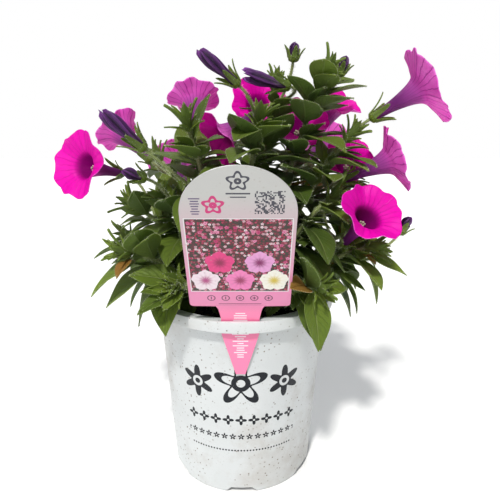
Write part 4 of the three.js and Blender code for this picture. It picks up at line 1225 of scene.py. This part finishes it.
# Corollas: each flower is one thin funnel of five joined petals with ruffled edges, deep magenta inside and
# paler outside. Dark veins run from the tube to the rim of each petal, and the throat is nearly black.

# Knots from the tube's end to the rim: share of the way, radius and height. A radius up to 1 is a share of
# the limb.
COROLLA_LINE = [(0, 2.3, -33), (0.22, 3.7, -16.5), (0.46, 8.2, 0), (0.72, 0.6, 5.6), (1, 1, 9.5)]
PETALS = 5


def smooth_through(share, knots):
    """A smooth curve through knots of (place, value), for an array of places."""
    places, values = (np.array(column, float) for column in zip(*knots))
    slopes = np.gradient(values, places)
    k = np.clip(np.searchsorted(places, share, side="right") - 1, 0, len(places) - 2)
    gap = places[k + 1] - places[k]
    t = (share - places[k]) / gap
    start = (2 * t**3 - 3 * t**2 + 1) * values[k] + (t**3 - 2 * t**2 + t) * gap * slopes[k]
    return start + (3 * t**2 - 2 * t**3) * values[k + 1] + (t**3 - t**2) * gap * slopes[k + 1]


# Veins of a corolla: five strong ones to a petal with fine ones between, wandering a little. Place gives the
# wandering, Around the share of a turn and Lines the strong veins in a full turn.
takes = {"Place": None, "Around": 0.0, "Lines": 25.0}
petal_veins, (at, turn, count), end = effect("petal_veins", takes, ["Veins", "Fine"])
wander = (cloud(at, 130.0) - 0.5) * 0.9
strong = ((turn * count + wander).by("FRACT") - 0.5).size().ramp(0.11, 0.02)
slight = ((turn * count * 3.6 + wander * 4.0).by("FRACT") - 0.5).size().ramp(0.2, 0.04)
ended(petal_veins, end, Veins=strong, Fine=slight)

petal_magenta, tree, shader = finish("petal_magenta", Roughness=0.55, IOR=1.35)
where = own_map(tree, "surface")
place = object_place(tree)
along, around, _ = split(where)
tone, _, outside = split(node(tree, "ShaderNodeAttribute", attribute_name="growth").outputs["Color"])
lobe = ((around * 5.0).by("FRACT") - 0.5).size() * 2.0
vein, fine = used(petal_veins, place, Around=around, Lines=25.0)
star = lobe.ramp(0.13, 0.0) * along.ramp(1.08, 0.5)
deep = along.ramp(0.55, 0.43)
face = blended(cloud(place, 70.0) * 0.6 + tone * 0.4, (0.80, 0.0, 0.42), (0.95, 0.002, 0.58))
face = blended((vein * 0.5 + fine * 0.1) * along.ramp(0.95, 0.6), face, (0.28, 0.0, 0.19))
face = blended(star * 0.35, face, (0.42, 0.0, 0.26))
face = blended(deep * 0.97, face, (0.018, 0.0, 0.028))
back = blended(along.ramp(0.26, 0.66), (0.16, 0.025, 0.20), (1.0, 0.20, 0.86))
back = blended(cloud(place, 90.0, 4.0).ramp(0.42, 0.72) * along.ramp(0.5, 0.8) * 0.6, back, (1.0, 0.42, 0.95))
back = blended(vein * 0.72 + fine * 0.24 * along.ramp(0.9, 0.4) + star * 0.22, back, (0.17, 0.006, 0.20))
joined(blended(outside, face, back), shader, "Base Color")
relief, gloss = used(plant_skin, place, Cells=330.0, Gloss=0.38)
joined(gloss, shader, "Roughness")
raised(shader, vein * 0.5 + fine * 0.2 + relief * 0.4, 0.0006, 0.7)
lit_through(tree, shader, 0.42, blended(outside, (0.98, 0.004, 0.62), (1.0, 0.32, 0.92)))

for number, (_, _, place_at, facing, limb) in enumerate(corollas, 1):
    place_at, axis = Vector(place_at), Vector(facing).normalized()
    phase = [hand.uniform(0, 6.28) for _ in range(4)]
    radii = [(at, radius if radius > 1 else radius * limb) for at, radius, _ in COROLLA_LINE]
    heights = [(at, height) for at, _, height in COROLLA_LINE]

    def funnel(u, v):
        radius, rise = smooth_through(u, radii), smooth_through(u, heights)
        lobe = np.mod(PETALS * v, 1.0)
        flare = np.clip((u - 0.6) / 0.4, 0, 1)
        notch = 1 - 0.15 * np.abs(np.cos(np.pi * lobe)) ** 4.2 - 0.03 * np.exp(-(((lobe - 0.5) / 0.06) ** 2))
        radius = radius * (1 + flare**1.5 * (notch - 1))
        curl = 0.9 * np.clip(np.cos(2 * np.pi * lobe), 0, 1) - 1.6 * np.clip(-np.cos(2 * np.pi * lobe), 0, 1)
        ruffle = 0.7 * np.sin(2 * np.pi * 8 * v + phase[0]) + 0.25 * np.sin(2 * np.pi * 19 * v + phase[1])
        ruffle = ruffle + 1.1 * np.sin(2 * np.pi * 3 * v + phase[2])
        pleat = -0.5 * np.exp(-(((lobe - 0.5) / 0.08) ** 2)) * np.clip((u - 0.3) / 0.3, 0, 1)
        rise = rise + curl * flare + ruffle * flare**2 * 0.8 + pleat
        return [place_at + axis * h + spoke(axis, a) * r for h, a, r in zip(rise, 2 * np.pi * v, radius)]

    bm = bmesh.new()
    grown(bm, 34, 110, funnel, (hand.random(), 0), thickness=0.35)
    laid(bm, f"corolla_{number:02d}", [petal_magenta], [f"corolla_{number:02d}"], smooth=180)

# Stamens: five thin filaments with pale anthers, round a style that stands a little higher. They are soft and
# dusty with pollen, and grow from the bottom of each tube.
STAMENS = 5
anther_dust, tree, shader = finish("anther_dust", Roughness=0.7)
place = object_place(tree)
joined(blended(cloud(place, 900.0, 4.0), (0.42, 0.40, 0.28), (0.66, 0.62, 0.46)), shader, "Base Color")
raised(shader, cloud(place, 1800.0), 0.0002)
for number, (_, _, place_at, facing, _) in enumerate(corollas, 1):
    place_at, axis = Vector(place_at), Vector(facing).normalized()
    turn = axis.to_track_quat("Z", "Y").to_matrix().to_4x4()
    bm = bmesh.new()
    for k in range(STAMENS + 1):
        style = k == STAMENS
        out = spoke(axis, 2 * math.pi * k / STAMENS) * (0 if style else 1)
        top = place_at - axis * (4.4 if style else 5.6 + 0.5 * (k % 2)) + out * 1.6
        thread = (place_at - axis * 30 + out * 0.5, place_at - axis * 16 + out * 0.4, top)
        tube(bm, thread, (0.3, 0.25), 6, 6, 0.5)
        end = placed(top, (0.85, 0.85, 1.2), turn)
        bmesh.ops.create_icosphere(bm, subdivisions=2, radius=0.8, matrix=end)
    laid(bm, f"stamens_{number:02d}", [anther_dust], [f"stamens_{number:02d}"], smooth=180)

# Buds: corollas that are still closed, pleated and twisted like a furled umbrella. They are deep purple, with
# painted highlights on the crests, painted shade in the grooves, and sit in calyces of their own. One is half
# open.
BUD_RINGS = [(0, 2.2), (0.32, 3.2), (0.72, 4.6), (1, 1.5)]
HALF_OPEN = 3
bud_purple, tree, shader = finish("bud_purple", Roughness=0.45)
where = own_map(tree, "surface")
place = object_place(tree)
along, around, _ = split(where)
furl = ((around * 5.0).by("FRACT") - 0.5).size()
# The grooves and crests of the pleats, which carry painted shade and a painted highlight.
painted_groove_shade, crest = furl.ramp(0.24, 0.02), furl.ramp(0.3, 0.5)
vein, fine = used(petal_veins, place, Around=around, Lines=30.0)
purple = blended(along.ramp(0.05, 0.4), (0.20, 0.11, 0.16), (0.055, 0.009, 0.085))
purple = blended(cloud(place, 70.0).ramp(0.4, 0.7) * 0.5, purple, (0.12, 0.02, 0.18))
# Painted highlight: the crests of the pleats are a lighter purple.
purple = blended(crest * 0.6, purple, (0.24, 0.055, 0.34))
purple = blended(along.ramp(0.82, 1.0) * 0.6, purple, (0.32, 0.06, 0.44))
purple = blended(vein * 0.6 + fine * 0.35, purple, (0.018, 0.002, 0.030))
# Painted shade: the grooves between the pleats are nearly black.
joined(blended(painted_groove_shade * 0.9, purple, (0.008, 0.001, 0.014)), shader, "Base Color")
relief, gloss = used(plant_skin, place, Cells=400.0, Gloss=0.34)
joined(gloss, shader, "Roughness")
raised(shader, vein * 0.5 + fine * 0.3 + relief * 0.5, 0.0006)
for number, (_, _, tip_at, facing, length) in enumerate(buds, 1):
    tip_at, axis = Vector(tip_at), Vector(facing).normalized()
    stout = min(1, 0.55 + length / 70)
    opening, recess = (0.7, 4) if length > 20 else (0.1, 0.5)
    mouth = 0.12
    if number == HALF_OPEN:
        opening, recess, mouth = 1.5, 8, 0.5
    jut = np.array([hand.uniform(-3.5, 0.4) for _ in range(PETALS)]) * min(1, length / 30)

    def furled(u, v):
        radius = smooth_through(np.clip(u, 0, 1), BUD_RINGS) * np.where(u < 0.05, 1, stout)
        radius = radius * np.clip((1.0 - u) / 0.05, mouth, 1) ** 0.5
        twist = np.radians(24) * np.interp(u, [0, 0.32, 0.72, 1], [0, 1, 2, 3])
        pleat = ((1 - np.cos(10 * np.pi * v)) / 2) ** 0.7
        crest = (1 - pleat) ** 1.5
        late = np.clip((u - 0.7) / 0.3, 0, 1)
        radius = radius * (1.08 - 0.52 * pleat * np.clip((u - 0.12) / 0.4, 0, 1))
        radius = radius * (1 + opening * crest * late**2) * (1 - 0.35 * opening * (1 - crest) * late)
        radius = radius * (1 + 0.05 * np.sin(2 * np.pi * 30 * v))
        own_jut = jut[np.floor(PETALS * v + 0.5).astype(int) % PETALS]
        rise = (u - 1) * length + late**2 * (own_jut * crest - recess * (1 - crest))
        turns = 2 * np.pi * v + twist
        return [tip_at + axis * h + spoke(axis, a) * r for h, a, r in zip(rise, turns, radius)]

    bm = bmesh.new()
    grown(bm, 40, 90, furled, (0.5, 0))
    laid(bm, f"bud_{number:02d}", [bud_purple], [f"bud_{number:02d}"], smooth=180)
bpy.context.view_layer.update()
